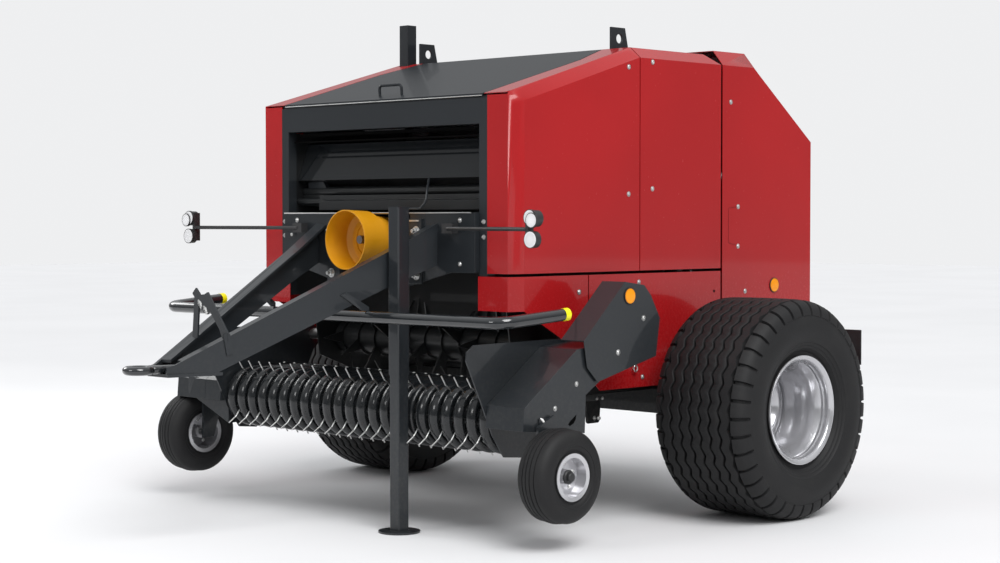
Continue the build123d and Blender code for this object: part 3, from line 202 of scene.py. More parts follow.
class Tree(Nodes):
    """The node tree of one finish, with its Principled shader."""

    def __init__(self, name: str) -> None:
        """Starts an empty material.

        Args:
            name: Name of the material.
        """
        self.material = bpy.data.materials.new(name)
        self.material.use_nodes = True
        super().__init__(self.material.node_tree)
        self.shader = self.nodes["Principled BSDF"]

    def place(self) -> Socket:
        """The point on the piece, in metres, at rest."""
        return self.output("ShaderNodeTexCoord", "Object")

    def noise(self, scale: float, detail: float = 3.0, rough: float = 0.5,
              stretch: Point | None = None) -> Socket:
        """A noise value around one half.

        Args:
            scale: Features per metre.
            detail: Octaves.
            rough: Weight of the finer octaves.
            stretch: Factors along X, Y and Z, for brushed or streaked looks.

        Returns:
            The noise value.
        """
        spot = self.place()
        if stretch:
            spot = spot * stretch
        return self.add("ShaderNodeTexNoise", {}, {"Vector": spot, "Scale": scale,
                                                   "Detail": detail, "Roughness": rough})

    def mix(self, share: Any, first: Any, second: Any) -> Socket:
        """first where share is 0, second where it is 1, for colours."""
        pair = [(*shade, 1.0) if isinstance(shade, tuple) else shade for shade in (first, second)]
        made = self.node("ShaderNodeMix", {"data_type": "RGBA"},
                         {0: share, 6: pair[0], 7: pair[1]})
        return Socket(self, made.outputs[2])

    def bump(self, height: Socket, depth: float, strength: float = 1.0) -> Socket:
        """A normal that follows a height given from 0 to 1."""
        return self.add("ShaderNodeBump", {}, {"Height": height, "Distance": depth,
                                               "Strength": strength})

    def surface(self, **sockets: Any) -> None:
        """Sets or links the Principled shader, with underscores for spaces in its names."""
        ready = {}
        for key, value in sockets.items():
            name = key.replace("_", " ")
            ready[name] = (*value, 1.0) if isinstance(value, tuple) and len(value) == 3 else value
        self.feed(self.shader, ready)


# ---- finishes --------------------------------------------------------------------------
@dataclass(frozen=True)
class Finish:
    """A surface that can be given to pieces. Each is made once."""

    name: str

    def dress(self, tree: Tree) -> None:
        """Builds the finish's nodes."""
        raise NotImplementedError

    def material(self) -> bpy.types.Material:
        """The finish as a material, made at its first use."""
        found = bpy.data.materials.get(self.name)
        if found:
            return found
        tree = Tree(self.name)
        self.dress(tree)
        return tree.material


@dataclass(frozen=True)
class Paint(Finish):
    """Sprayed paint: even colour, faint waviness under the coat, and settled dust low down."""

    colour: Colour = (0.4, 0.02, 0.02)
    roughness: float = 0.32
    coat: float = 0.5
    waviness: float = 0.35
    dust: float = 0.10
    dust_top: float = 1.1
    specular: float = 0.35
    metal: float = 0.0

    def dress(self, tree: Tree) -> None:
        """Colour drift, orange peel and dust that thins out upwards."""
        drift = tree.noise(1.6, 2.0)
        speckle = tree.noise(70.0, 4.0, 0.6)
        deep = tuple(0.95 * part for part in self.colour)
        pale = tuple(min(1.0, 1.04 * part) for part in self.colour)
        shade = tree.mix(drift.band(0.3, 0.7), deep, pale)
        low = 1.0 - tree.place().part("Z").band(0.25, self.dust_top)
        dusty = low * speckle.band(0.42, 0.72) * self.dust
        shade = tree.mix(dusty, shade, (0.30, 0.27, 0.22))
        peel = tree.noise(150.0, 1.0, 0.4)
        tree.surface(Base_Color=shade, Roughness=self.roughness + 0.02 * speckle + 1.6 * dusty,
                     Coat_Weight=self.coat, Coat_Roughness=0.04, Metallic=self.metal,
                     Specular_IOR_Level=self.specular,
                     Normal=tree.bump(peel, 0.0004, self.waviness))


@dataclass(frozen=True)
class Rubber(Finish):
    """Tyre rubber: near black, dry, with a fine skin and a little grey on the high spots."""

    colour: Colour = (0.0085, 0.0085, 0.0092)
    scuff: float = 0.15

    def dress(self, tree: Tree) -> None:
        """Cured rubber skin with pale scuffs."""
        wear = tree.noise(9.0, 5.0, 0.6)
        grain = tree.noise(900.0, 3.0, 0.6)
        scuffed = wear.band(0.45, 0.75) * self.scuff
        shade = tree.mix(scuffed, self.colour, (0.035, 0.034, 0.032))
        tree.surface(Base_Color=shade, Roughness=0.52 + 0.22 * grain + 0.3 * scuffed,
                     Specular_IOR_Level=0.32, Normal=tree.bump(grain, 0.0006, 0.5))


@dataclass(frozen=True)
class Plastic(Finish):
    """Moulded plastic with a faint leather grain."""

    colour: Colour = (0.8, 0.35, 0.01)
    roughness: float = 0.38
    grain: float = 0.3

    def dress(self, tree: Tree) -> None:
        """Even colour, with the mould's grain and a slightly paler bloom."""
        bloom = tree.noise(6.0, 3.0)
        cells = tree.add("ShaderNodeTexVoronoi", {}, {"Vector": tree.place(), "Scale": 420.0})
        pale = tuple(min(1.0, 1.12 * part + 0.01) for part in self.colour)
        shade = tree.mix(bloom.band(0.35, 0.75), self.colour, pale)
        tree.surface(Base_Color=shade, Roughness=self.roughness + 0.12 * bloom,
                     Normal=tree.bump(cells, 0.0003, self.grain))


@dataclass(frozen=True)
class Steel(Finish):
    """Bare or plated steel, brushed along one direction."""

    colour: Colour = (0.62, 0.62, 0.61)
    roughness: float = 0.24
    brushed: Point = (1.0, 12.0, 12.0)

    def dress(self, tree: Tree) -> None:
        """Fine brushing, with a dull film in patches."""
        lines = tree.noise(60.0, 4.0, 0.65, self.brushed)
        film = tree.noise(14.0, 3.0).band(0.45, 0.8)
        dull = tuple(0.72 * part for part in self.colour)
        tree.surface(Base_Color=tree.mix(film, self.colour, dull), Metallic=1.0,
                     Roughness=self.roughness + 0.14 * lines + 0.12 * film,
                     Normal=tree.bump(lines, 0.0003, 0.25))


@dataclass(frozen=True)
class ReelSteel(Finish):
    """The tine reel: spring-steel tines worn bright, on a dark painted reel."""

    axis: tuple[float, float] = (0.0, 0.0)
    reach: float = 0.09
    fade: float = 0.012

    def dress(self, tree: Tree) -> None:
        """Turns from paint to bright steel with the distance from the reel's axis."""
        spot = tree.place()
        away_y = spot.part("Y") - self.axis[0]
        away_z = spot.part("Z") - self.axis[1]
        away = away_y * away_y + away_z * away_z
        bright = away.band(self.reach ** 2, (self.reach + self.fade) ** 2)
        worn = tree.noise(40.0, 4.0, 0.6)
        tree.surface(Base_Color=tree.mix(bright, (0.03, 0.033, 0.036), (0.70, 0.70, 0.69)),
                     Metallic=bright, Roughness=0.26 + 0.2 * worn,
                     Normal=tree.bump(worn, 0.0003, 0.2))


@dataclass(frozen=True)
class Lens(Finish):
    """A lamp lens or reflector: clear coloured plastic over small prisms."""

    colour: Colour = (0.9, 0.9, 0.9)
    prisms: float = 300.0
    depth: float = 0.5

    def dress(self, tree: Tree) -> None:
        """A glossy coat over a faceted back."""
        cells = tree.add("ShaderNodeTexVoronoi", {"distance": "CHEBYCHEV"},
                         {"Vector": tree.place(), "Scale": self.prisms, "Randomness": 0.0})
        edge = cells.band(0.25, 0.5)
        deep = tuple(0.72 * part for part in self.colour)
        tree.surface(Base_Color=tree.mix(edge, self.colour, deep), Roughness=0.16 + 0.1 * edge,
                     Coat_Weight=0.2, Coat_Roughness=0.03, Specular_IOR_Level=0.25,
                     Normal=tree.bump(cells, 0.0012, self.depth))


@dataclass(frozen=True)
class Ground(Finish):
    """The studio's pale floor and wall."""

    colour: Colour = (0.74, 0.74, 0.75)

    def dress(self, tree: Tree) -> None:
        """A smooth matt sweep with a trace of unevenness."""
        cloud = tree.noise(0.6, 2.0)
        pale = tuple(min(1.0, part * 1.03) for part in self.colour)
        tree.surface(Base_Color=tree.mix(cloud.band(0.3, 0.7), self.colour, pale),
                     Roughness=0.55 + 0.1 * cloud)


RED = Paint("finish_red_paint", (0.355, 0.0085, 0.0105), 0.26, 0.38, 0.10, 0.03, specular=0.25)
ANTHRACITE = Paint("finish_anthracite_paint", (0.0165, 0.0192, 0.0222), 0.30, 0.32, 0.12, 0.04,
                   specular=0.28)
LID_ANTHRACITE = Paint("finish_lid_anthracite", (0.0175, 0.0200, 0.0230), 0.42, 0.08, 0.12, 0.03,
                       specular=0.16)
GLOSSY_ANTHRACITE = Paint("finish_gloss_anthracite", (0.0105, 0.0125, 0.0145), 0.12, 0.9,
                          0.06, 0.03)
BAND_GLOSS = Paint("finish_band_enamel", (0.0085, 0.0100, 0.0116), 0.20, 0.45, 0.05, 0.03,
                   specular=0.25)
# Glossy black enamel of the net tray, its colour deepened to paint in the shade inside the front
# opening.
TRAY_GLOSS_SHADED = Paint("finish_tray_enamel", (0.0085, 0.0098, 0.0112), 0.12, 0.35, 0.03, 0.02,
                   specular=0.12)
# Painted shade: a darker copy of the anthracite frame paint, for the chassis parts inside and under
# the machine and the strips in the front opening, where shade falls.
SHADED_ANTHRACITE = Paint("finish_chassis_black", (0.0070, 0.0078, 0.0086), 0.42, 0.15, 0.2, 0.06)
# Painted shade: a flat near-black that stands for the shade in slots, holes and the dark depth of
# the front opening.
PAINTED_SHADE = Paint("finish_painted_shade", (0.0012, 0.0012, 0.0013), 0.9, 0.0, 0.0, 0.0, specular=0.05)
# Painted shade: a darker red for the shade in the fine crease round the tailgate's flap.
RED_CREASE_SHADE = Paint("finish_red_crease", (0.150, 0.0040, 0.0050), 0.50, 0.0, 0.0, 0.0,
                   specular=0.10)
SILVER = Paint("finish_rim_silver", (0.50, 0.50, 0.52), 0.17, 0.8, 0.06, 0.03, 0.5, 0.5, 0.62)
RUBBER = Rubber("finish_tyre_rubber")
YELLOW = Plastic("finish_shield_yellow", (0.56, 0.245, 0.0015), 0.36)
LIME = Plastic("finish_cap_lime", (0.82, 0.76, 0.004), 0.30)
WHITE_CLIP = Plastic("finish_white_clip", (0.85, 0.85, 0.84), 0.30)
BLACK_PLASTIC = Plastic("finish_black_plastic", (0.012, 0.012, 0.013), 0.42, 0.4)
ZINC = Steel("finish_zinc_plate")
ROD_STEEL = Steel("finish_chromed_rod", (0.72, 0.72, 0.73), 0.10, (12.0, 12.0, 1.0))
SLAT_STEEL = Steel("finish_slat_steel", (0.20, 0.20, 0.205), 0.32, (1.0, 14.0, 14.0))
WHITE_LENS = Lens("finish_white_lens", (0.92, 0.92, 0.93), 180.0, 0.35)
AMBER_LENS = Lens("finish_amber_reflector", (1.0, 0.34, 0.002), 260.0, 0.25)
RED_LENS = Lens("finish_red_lens", (0.62, 0.008, 0.006), 220.0)
FLOOR = Ground("finish_studio_floor")

SLOT_FINISH = {
    "body_paint": RED, "frame_paint": ANTHRACITE, "rim_paint": SILVER, "tyre": RUBBER,
    "shield_plastic": YELLOW, "cap_plastic": LIME, "lamp_plastic": BLACK_PLASTIC,
    "bright_steel": ZINC, "slat_steel": SLAT_STEEL,
}


# ---- mesh making -----------------------------------------------------------------------
def round_edges(piece: bpy.types.Object, width: float, sharp: float) -> None:
    """Rounds a piece's sharp edges.

    Args:
        piece: The object.
        width: Width of the rounding.
        sharp: The least angle of an edge that is rounded, in degrees.
    """
    rounding = piece.modifiers.new("rounding", "BEVEL")
    rounding.width, rounding.segments = width, ROUNDING_STEPS
    rounding.limit_method, rounding.angle_limit = "ANGLE", radians(sharp)
    rounding.harden_normals = True


@dataclass
class Form:
    """A mesh being made from rings, sweeps and plates, in the machine's frame."""

    name: str
    points: list[Vector] = field(default_factory=list)
    faces: list[tuple[int, ...]] = field(default_factory=list)
    shades: list[int] = field(default_factory=list)
    shade: int = 0

    def grid(self, rows: Sequence[Sequence[Vector]], round_rows: bool = False,
             round_columns: bool = False) -> None:
        """Adds a skin over rows of points.

        Args:
            rows: Rows with the same number of points.
            round_rows: Whether the last row joins the first.
            round_columns: Whether each row closes on itself.
        """
        start, wide, tall = len(self.points), len(rows[0]), len(rows)
        for row in rows:
            self.points.extend(row)
        for i in range(tall if round_rows else tall - 1):
            for j in range(wide if round_columns else wide - 1):
                a, b = start + i * wide, start + (i + 1) % tall * wide
                k = (j + 1) % wide
                self.faces.append((a + j, a + k, b + k, b + j))
                self.shades.append(self.shade)

    def cap(self, ring: Sequence[Vector], flip: bool = False) -> None:
        """Closes a ring of points with one face."""
        start = len(self.points)
        self.points.extend(ring)
        order = tuple(range(start, start + len(ring)))
        self.faces.append(order[::-1] if flip else order)
        self.shades.append(self.shade)

    @staticmethod
    def rings(centre: Vector, axis: Vector, profile: Profile, steps: int) -> list[list[Vector]]:
        """The points of a profile turned round an axis.

        Args:
            centre: The axis's starting point.
            axis: Direction of the axis.
            profile: (distance along the axis, radius) pairs from one end to the other.
            steps: Points round the axis.

        Returns:
            A ring of points for each pair.
        """
        along = axis.normalized()
        out = along.orthogonal().normalized()
        other = along.cross(out)
        return [[centre + along * reach + (out * cos(2 * pi * k / steps)
                                           + other * sin(2 * pi * k / steps)) * radius
                 for k in range(steps)] for reach, radius in profile]

    def turn(self, centre: Vector, axis: Vector, profile: Profile, steps: int) -> None:
        """Turns a profile round an axis and closes its open ends, as rings takes it."""
        rows = self.rings(centre, axis, profile, steps)
        self.grid(rows, round_columns=True)
        if profile[0][1] > ON_AXIS:
            self.cap(rows[0], flip=True)
        if profile[-1][1] > ON_AXIS:
            self.cap(rows[-1])

    def lathe(self, centre: Vector, axis: Vector, profile: Profile, steps: int) -> None:
        """Turns a profile round an axis, without end caps."""
        self.grid(self.rings(centre, axis, profile, steps), round_columns=True)

    def bar(self, path: Sequence[Vector], radius: float, sides: int = 10) -> None:
        """A round bar along a path of points."""
        rows = []
        across = (path[1] - path[0]).orthogonal().normalized()
        for i, spot in enumerate(path):
            run = (path[min(i + 1, len(path) - 1)] - path[max(i - 1, 0)]).normalized()
            across = (across - run * across.dot(run)).normalized()
            other = run.cross(across)
            rows.append([spot + (across * cos(2 * pi * k / sides)
                                 + other * sin(2 * pi * k / sides)) * radius
                         for k in range(sides)])
        self.grid(rows, round_columns=True)
        self.cap(rows[0], flip=True)
        self.cap(rows[-1])

    def slab(self, outline: Sequence[Vector], through: Vector) -> None:
        """A plate with a given outline, as thick as the vector through."""
        top = [spot + through for spot in outline]
        self.grid([list(outline), top], round_columns=True)
        self.cap(list(outline), flip=True)
        self.cap(top)

    def bolt(self, foot: Vector, out: Vector, radius: float = 0.009, hexed: bool = False) -> None:
        """A button-head or hexagon bolt on its washer.

        Args:
            foot: Where the washer meets the surface.
            out: Outward direction.
            radius: Radius of the head.
            hexed: Whether the head is a hexagon.
        """
        lift = radius * 0.16
        self.turn(foot, out, [(0.0, radius * 1.35), (lift, radius * 1.35), (lift, 0.0)], 20)
        if hexed:
            self.turn(foot, out, [(lift, radius * 1.08), (radius * 0.78, radius * 1.08),
                                  (radius * 0.9, radius * 0.92), (radius * 0.9, 0.0)], 6)
            self.turn(foot, out, [(radius * 0.9, radius * 0.42), (radius * 1.5, radius * 0.42),
                                  (radius * 1.6, radius * 0.34), (radius * 1.6, 0.0)], 12)
            return
        self.turn(foot, out, [(lift, radius), (radius * 0.42, radius * 0.93),
                              (radius * 0.62, radius * 0.72), (radius * 0.72, radius * 0.42),
                              (radius * 0.34, radius * 0.38), (radius * 0.34, 0.0)], 18)

    def build(self, body: str, finishes: Finish | Sequence[Finish], slot: str,
              round_below: float = 32.0, bevel: float = 0.0) -> bpy.types.Object:
        """Makes the object, dresses it and hangs it on its body.

        Args:
            body: CAD body that it rides on.
            finishes: One finish, or one for each shade number used.
            slot: The record's material slot; not used.
            round_below: Edges flatter than this many degrees are shaded smooth.
            bevel: Width of a small bevel on the sharp edges, or 0.

        Returns:
            The object.
        """
        mesh = bpy.data.meshes.new(self.name)
        mesh.from_pydata([tuple(spot) for spot in self.points], [], self.faces)
        mesh.polygons.foreach_set("material_index", self.shades)
        shape = bmesh.new()
        shape.from_mesh(mesh)
        bmesh.ops.remove_doubles(shape, verts=shape.verts, dist=WELD)
        bmesh.ops.recalc_face_normals(shape, faces=shape.faces)
        shape.to_mesh(mesh)
        shape.free()
        mesh.polygons.foreach_set("use_smooth", [True] * len(mesh.polygons))
        mesh.set_sharp_from_angle(angle=radians(round_below))
        piece = bpy.data.objects.new(self.name, mesh)
        bpy.context.scene.collection.objects.link(piece)
        for finish in (finishes if isinstance(finishes, (list, tuple)) else [finishes]):
            mesh.materials.append(finish.material())
        if bevel:
            round_edges(piece, bevel, 32.0)
        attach(piece, body)
        LOG.info("piece %s on %s: %d faces", self.name, body, len(mesh.polygons))
        return piece


@dataclass(frozen=True)
class Extent:
    """The place of a CAD node at rest."""

    low: Vector
    high: Vector

    @classmethod
    def of(cls, node: str) -> "Extent":
        """The extent of a named node."""
        return cls(*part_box(node))

    @property
    def middle(self) -> Vector:
        """Centre of the box."""
        return (self.low + self.high) / 2

    def outer(self, side: Side) -> float:
        """X of the face on the machine's outside."""
        return self.high.x if side is Side.LEFT else self.low.x

    def seat(self, side: Side) -> float:
        """X just inside that face, where small pieces are let in."""
        return self.outer(side) - side.value * SINK


# ---- wheels ----------------------------------------------------------------------------
@dataclass
class Wheel:
    """A wheel on one side, in the place of its plain CAD tyre."""

    side: Side

    TYRE: ClassVar[str] = ""

    def __post_init__(self) -> None:
        """Reads the tyre's place from the CAD."""
        box = Extent.of(f"{self.TYRE}_{self.side.word}")
        self.centre = box.middle
        self.radius = (box.high.z - box.low.z) / 2
        self.half = (box.high.x - box.low.x) / 2


@dataclass
class DriveWheel(Wheel):
    """A main wheel: a flotation tyre with wavy ribs and shoulder blocks, and the rolled rim."""

    blocks: int = 38
    ribs: int = 7
    ribbed_half: float = 0.176
    groove: float = 0.0115
    groove_depth: float = 0.017
    wave: float = 0.0080
    shoulder_depth: float = 0.015
    crown_drop: float = 0.0022
    edge_round: float = 0.0015
    nuts: int = 8
    nut_circle: float = 0.1025
    nut_size: float = 0.012

    TYRE: ClassVar[str] = "tyre"
    PHASES: ClassVar[tuple[float, ...]] = (0.0, 0.05, 0.16, 0.21, 0.31, 0.41, 0.52, 0.56, 0.66,
                                           0.76, 0.86, 0.95)
    CUT: ClassVar[tuple[float, ...]] = (0.0, 1.0, 1.0, *(0.0,) * 9)
    NOTCH: ClassVar[tuple[float, ...]] = (*(0.0,) * 6, 0.3, 0.3, *(0.0,) * 4)

    def _crown(self, x: float) -> float:
        """The tread's radius at a distance from its middle."""
        return self.radius - self.crown_drop * (x / self.ribbed_half) ** 2

    def _stations(self) -> list[tuple[float, float, float, float, float, float]]:
        """The outer profile from the middle of the tread to the bead.

        Returns:
            (x, radius, wave share, groove depth, block cut depth, notch depth) of each station.
        """
        r, half = self.radius, self.half
        pitch = 2 * self.ribbed_half / self.ribs
        deep, lip = self.groove_depth, self.edge_round
        rows = [(0.0, self._crown(0.0), 1.0, 0.0, 0.0, 0.0)]
        for k in range(1, self.ribs // 2 + 1):
            edge = pitch * (k - 0.5)
            wide = self.groove / 2
            top = self._crown(edge)
            rows += [(edge - wide - 0.002, top, 1.0, 0.0, 0.0, 0.0),
                     (edge - wide, top, 1.0, lip, 0.0, 0.0),
                     (edge - wide * 0.55, top, 1.0, deep, 0.0, 0.0),
                     (edge + wide * 0.55, top, 1.0, deep, 0.0, 0.0),
                     (edge + wide, top, 1.0, lip, 0.0, 0.0),
                     (edge + wide + 0.002, top, 1.0, 0.0, 0.0, 0.0),
                     (pitch * k, self._crown(pitch * k), 1.0, 0.0, 0.0, 0.0)]
        edge = self.ribbed_half
        wide = self.groove * 0.6
        cut = self.shoulder_depth
        rows += [(edge - wide, r - 0.003, 1.0, 0.0, 0.0, 0.0),
                 (edge - wide * 0.5, r - 0.003, 0.8, deep, 0.0, 0.0),
                 (edge + wide * 0.3, r - 0.004, 0.5, deep, cut, 0.0),
                 (edge + wide, r - 0.004, 0.0, 0.0, cut, 0.0),
                 (edge + 0.016, r - 0.0065, 0.0, 0.0, cut, 0.004),
                 (edge + 0.030, r - 0.012, 0.0, 0.0, cut, 0.004),
                 (half - 0.024, r - 0.0235, 0.0, 0.0, cut, 0.0),
                 (half - 0.014, r - 0.039, 0.0, 0.0, cut, 0.0),
                 (half - 0.0085, r - 0.056, 0.0, 0.0, cut, 0.0),
                 (half - 0.0065, r - 0.066, 0.0, 0.0, 0.6 * cut, 0.0),
                 (half - 0.0095, r - 0.069, 0.0, 0.0, 0.0, 0.0),
                 (half - 0.0075, r - 0.078, 0.0, 0.0, 0.0, 0.0)]
        wall = [(half - 0.002, r - 0.096), (half, r - 0.118), (half - 0.0015, r - 0.140),
                (half - 0.0065, r - 0.160), (half - 0.0125, r - 0.176), (half - 0.0125, r - 0.1785),
                (half - 0.0150, r - 0.180), (half - 0.0215, r - 0.190), (half - 0.0215, r - 0.1925),
                (half - 0.0240, r - 0.194), (half - 0.0300, r - 0.203), (half - 0.0300, r - 0.2055),
                (half - 0.0325, r - 0.207), (half - 0.0400, r - 0.215), (half - 0.0485, r - 0.220),
                (half - 0.0510, r - 0.232), (half - 0.0510, r - 0.2500)]
        rows += [(x, radius, 0.0, 0.0, 0.0, 0.0) for x, radius in wall]
        return rows

    def tyre(self) -> bpy.types.Object:
        """The tyre with its tread, standing for the plain CAD tyre."""
        rows = self._stations()
        half_rows = [(-x, *rest) for x, *rest in rows[:0:-1]]
        lining = [(self.half - 0.074, self.radius - 0.25), (self.half - 0.072, self.radius - 0.212),
                  (self.half - 0.026, self.radius - 0.118),
                  (self.half - 0.042, self.radius - 0.052), (0.0, self.radius - 0.038)]
        inside = [(x, radius, 0.0, 0.0, 0.0, 0.0) for x, radius in lining]
        inside += [(-x, radius, 0.0, 0.0, 0.0, 0.0) for x, radius in lining[-2::-1]]
        section = half_rows + rows + inside
        form = Form(f"tyre_tread_{self.side.word}")
        rings = []
        for block in range(self.blocks):
            for phase, cut, notch in zip(self.PHASES, self.CUT, self.NOTCH):
                angle = 2 * pi * (block + phase) / self.blocks
                bend = self.wave * (2 / pi) * asin(0.94 * sin(2 * pi * phase)) * 1.15
                ring = []
                for x, radius, share, groove, block_cut, dent in section:
                    away = block_cut * cut + dent * notch
                    past = (abs(x) - self.ribbed_half) / 0.06
                    lean = min(1.0, max(0.0, past)) if away else 0.0
                    reach = radius - groove - away * (1 - 0.75 * lean)
                    place = x + bend * share - away * 0.75 * lean * (1 if x > 0 else -1)
                    spot = Vector((place, reach * cos(angle), reach * sin(angle)))
                    ring.append(self.centre + spot)
                rings.append(ring)
        form.grid(rings, round_rows=True, round_columns=True)
        piece = form.build(f"wheel_{self.side.word}", RUBBER, "tyre", 38.0)
        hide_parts(f"tyre_{self.side.word}")
        return piece

    @staticmethod
    def _soft(profile: Profile, share: float = 0.3) -> Profile:
        """Cuts a profile's corners twice, so that it is rolled rather than folded."""
        for _ in range(2):
            rounded = [profile[0]]
            for (x0, r0), (x1, r1) in zip(profile, profile[1:]):
                rounded += [(x0 + share * (x1 - x0), r0 + share * (r1 - r0)),
                            (x1 - share * (x1 - x0), r1 - share * (r1 - r0))]
            profile = rounded + [profile[-1]]
        return profile

    def rim(self) -> bpy.types.Object:
        """The rolled rim, its dished disc and its hub, standing for the plain CAD rim."""
        box = Extent.of(f"rim_{self.side.word}")
        half, lip = (box.high.x - box.low.x) / 2, (box.high.z - box.low.z) / 2
        disc = half - 0.007 - 0.235
        shell = [(half - 0.013, lip - 0.004), (half - 0.004, lip), (half, lip - 0.003),
                 (half - 0.004, lip - 0.012), (half - 0.012, lip - 0.024),
                 (half - 0.034, lip - 0.0255), (half - 0.040, lip - 0.030),
                 (half - 0.048, lip - 0.026), (half - 0.056, lip - 0.032),
                 (half - 0.104, lip - 0.052), (0.0, lip - 0.0535), (-half + 0.075, lip - 0.0525),
                 (-half + 0.042, lip - 0.025), (-half + 0.010, lip - 0.024), (-half, lip - 0.003),
                 (-half + 0.004, lip), (-half + 0.012, lip - 0.004)]
        back = [(-half + 0.017, lip - 0.0175), (-half + 0.041, lip - 0.0182),
                (-half + 0.077, lip - 0.046), (half - 0.107, lip - 0.046),
                (half - 0.047, lip - 0.0182), (half - 0.017, lip - 0.0175),
                (half - 0.013, lip - 0.004)]
        dish = [(disc - 0.014, lip - 0.0525), (disc + 0.008, 0.168), (disc + 0.019, 0.122),
                (disc - 0.010, 0.094), (disc - 0.030, 0.094), (disc - 0.030, 0.062),
                (disc - 0.150, 0.056), (disc - 0.150, 0.039), (disc - 0.012, 0.039)]
        face = [(disc - 0.004, lip - 0.0525), (disc + 0.016, 0.172), (disc + 0.029, 0.128),
                (disc + 0.029, 0.119), (disc - 0.001, 0.094), (disc - 0.004, 0.088),
                (disc - 0.004, 0.060)]
        cap = [(disc - 0.006, 0.0605), (disc + 0.034, 0.053), (disc + 0.048, 0.046),
               (disc + 0.052, 0.036), (disc + 0.052, 0.0)]
        out = self.side.out
        form = Form(f"rolled_rim_{self.side.word}")
        form.lathe(self.centre, out, self._soft(shell) + self._soft(back, 0.2), 96)
        form.lathe(self.centre, out, self._soft(dish, 0.2), 72)
        form.lathe(self.centre, out, self._soft(face, 0.2), 72)
        form.lathe(self.centre, out, self._soft(cap, 0.25), 40)
        piece = form.build(f"wheel_{self.side.word}", SILVER, "rim_paint", 50.0)
        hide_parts(f"rim_{self.side.word}")
        return piece

    def fittings(self) -> bpy.types.Object:
        """The wheel nuts, and the valve in the dished disc."""
        rim = Extent.of(f"rim_{self.side.word}")
        out = self.side.out
        face = self.centre.x + self.side.value * (-0.029 - 0.010)
        form = Form(f"wheel_fittings_{self.side.word}")
        for k in range(self.nuts):
            angle = 2 * pi * (k + 0.5) / self.nuts
            spot = Vector((face, self.centre.y + self.nut_circle * cos(angle),
                           self.centre.z + self.nut_circle * sin(angle)))
            form.bolt(spot, out, self.nut_size, hexed=True)
        form.shade = 1
        valve = Vector((rim.outer(self.side) - self.side.value * 0.245, self.centre.y + 0.03,
                        self.centre.z + 0.160))
        form.turn(valve, out, [(0.0, 0.011), (0.006, 0.011), (0.012, 0.006), (0.036, 0.005),
                               (0.040, 0.003), (0.040, 0.0)], 14)
        return form.build(f"wheel_{self.side.word}", [ZINC, BLACK_PLASTIC], "rim_paint")

    def build(self) -> None:
        """Makes the tyre, the rim and the rim's fittings."""
        self.tyre()
        self.rim()
        self.fittings()


@dataclass
class GaugeWheel(Wheel):
    """A pick-up gauge wheel: its rounded, finely ribbed tyre, the rim's bolts and hub cap."""

    ribs: int = 5
    rib_depth: float = 0.004
    tread_half: float = 0.049
    steps: int = 112
    bolts: int = 5
    bolt_circle: float = 0.052
    bolt_size: float = 0.006
    first_bolt: float = 0.3

    TYRE: ClassVar[str] = "gauge_tyre"

    def tyre(self) -> bpy.types.Object:
        """The tyre, standing for the plain CAD tyre."""
        r, half, tread = self.radius, self.half, self.tread_half
        pitch = 2 * tread / self.ribs
        profile = [(0.0, r)]
        for k in range(1, self.ribs // 2 + 1):
            edge = pitch * (k - 0.5)
            drop = 0.0010 * k * k
            profile += [(edge - 0.0025, r - drop), (edge - 0.0012, r - drop - self.rib_depth),
                        (edge + 0.0012, r - drop - self.rib_depth),
                        (edge + 0.0025, r - drop - 0.0005)]
        profile += [(tread, r - 0.0055), (half - 0.016, r - 0.0125), (half - 0.007, r - 0.024),
                    (half - 0.002, r - 0.038), (half, r - 0.052), (half - 0.0015, r - 0.062),
                    (half - 0.0035, r - 0.0635), (half - 0.005, r - 0.072),
                    (half - 0.009, r - 0.080), (half - 0.012, r - 0.0815),
                    (half - 0.013, r - 0.088), (half - 0.015, r - 0.103)]
        lining = [(half - 0.027, r - 0.103), (half - 0.026, r - 0.085), (half - 0.014, r - 0.054),
                  (half - 0.024, r - 0.024), (0.0, r - 0.016)]
        section = [(-x, reach) for x, reach in profile[:0:-1]] + profile + lining
        section += [(-x, reach) for x, reach in lining[-2::-1]]
        form = Form(f"gauge_tread_{self.side.word}")
        rings = [[self.centre + Vector((x, reach * cos(2 * pi * k / self.steps),
                                        reach * sin(2 * pi * k / self.steps)))
                  for x, reach in section] for k in range(self.steps)]
        form.grid(rings, round_rows=True, round_columns=True)
        piece = form.build(f"gauge_wheel_{self.side.word}", RUBBER, "tyre", 40.0)
        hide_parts(f"gauge_tyre_{self.side.word}")
        return piece

    def fittings(self) -> bpy.types.Object:
        """The bolts of the two rim halves, seen from both sides, and the hub cap."""
        form = Form(f"gauge_bolts_{self.side.word}")
        for k in range(self.bolts):
            angle = 2 * pi * k / self.bolts + self.first_bolt
            for out in (1, -1):
                offset = 0.0195 if out == self.side.value else -0.0140
                spot = self.centre + Vector((self.side.value * offset,
                                             self.bolt_circle * cos(angle),
                                             self.bolt_circle * sin(angle)))
                form.bolt(spot, Vector((out, 0, 0)), self.bolt_size, hexed=True)
        form.shade = 1
        form.turn(self.centre + Vector((self.side.value * 0.0390, 0, 0)), self.side.out,
                  [(0.0, 0.0275), (0.0085, 0.0270), (0.0120, 0.0235), (0.0120, 0.0190),
                   (0.0225, 0.0180), (0.0250, 0.0150), (0.0250, 0.0)], 28)
        return form.build(f"gauge_wheel_{self.side.word}", [ZINC, BLACK_PLASTIC], "rim_paint")

    def build(self) -> None:
        """Makes the tyre and the rim's fittings."""
        self.tyre()
        self.fittings()


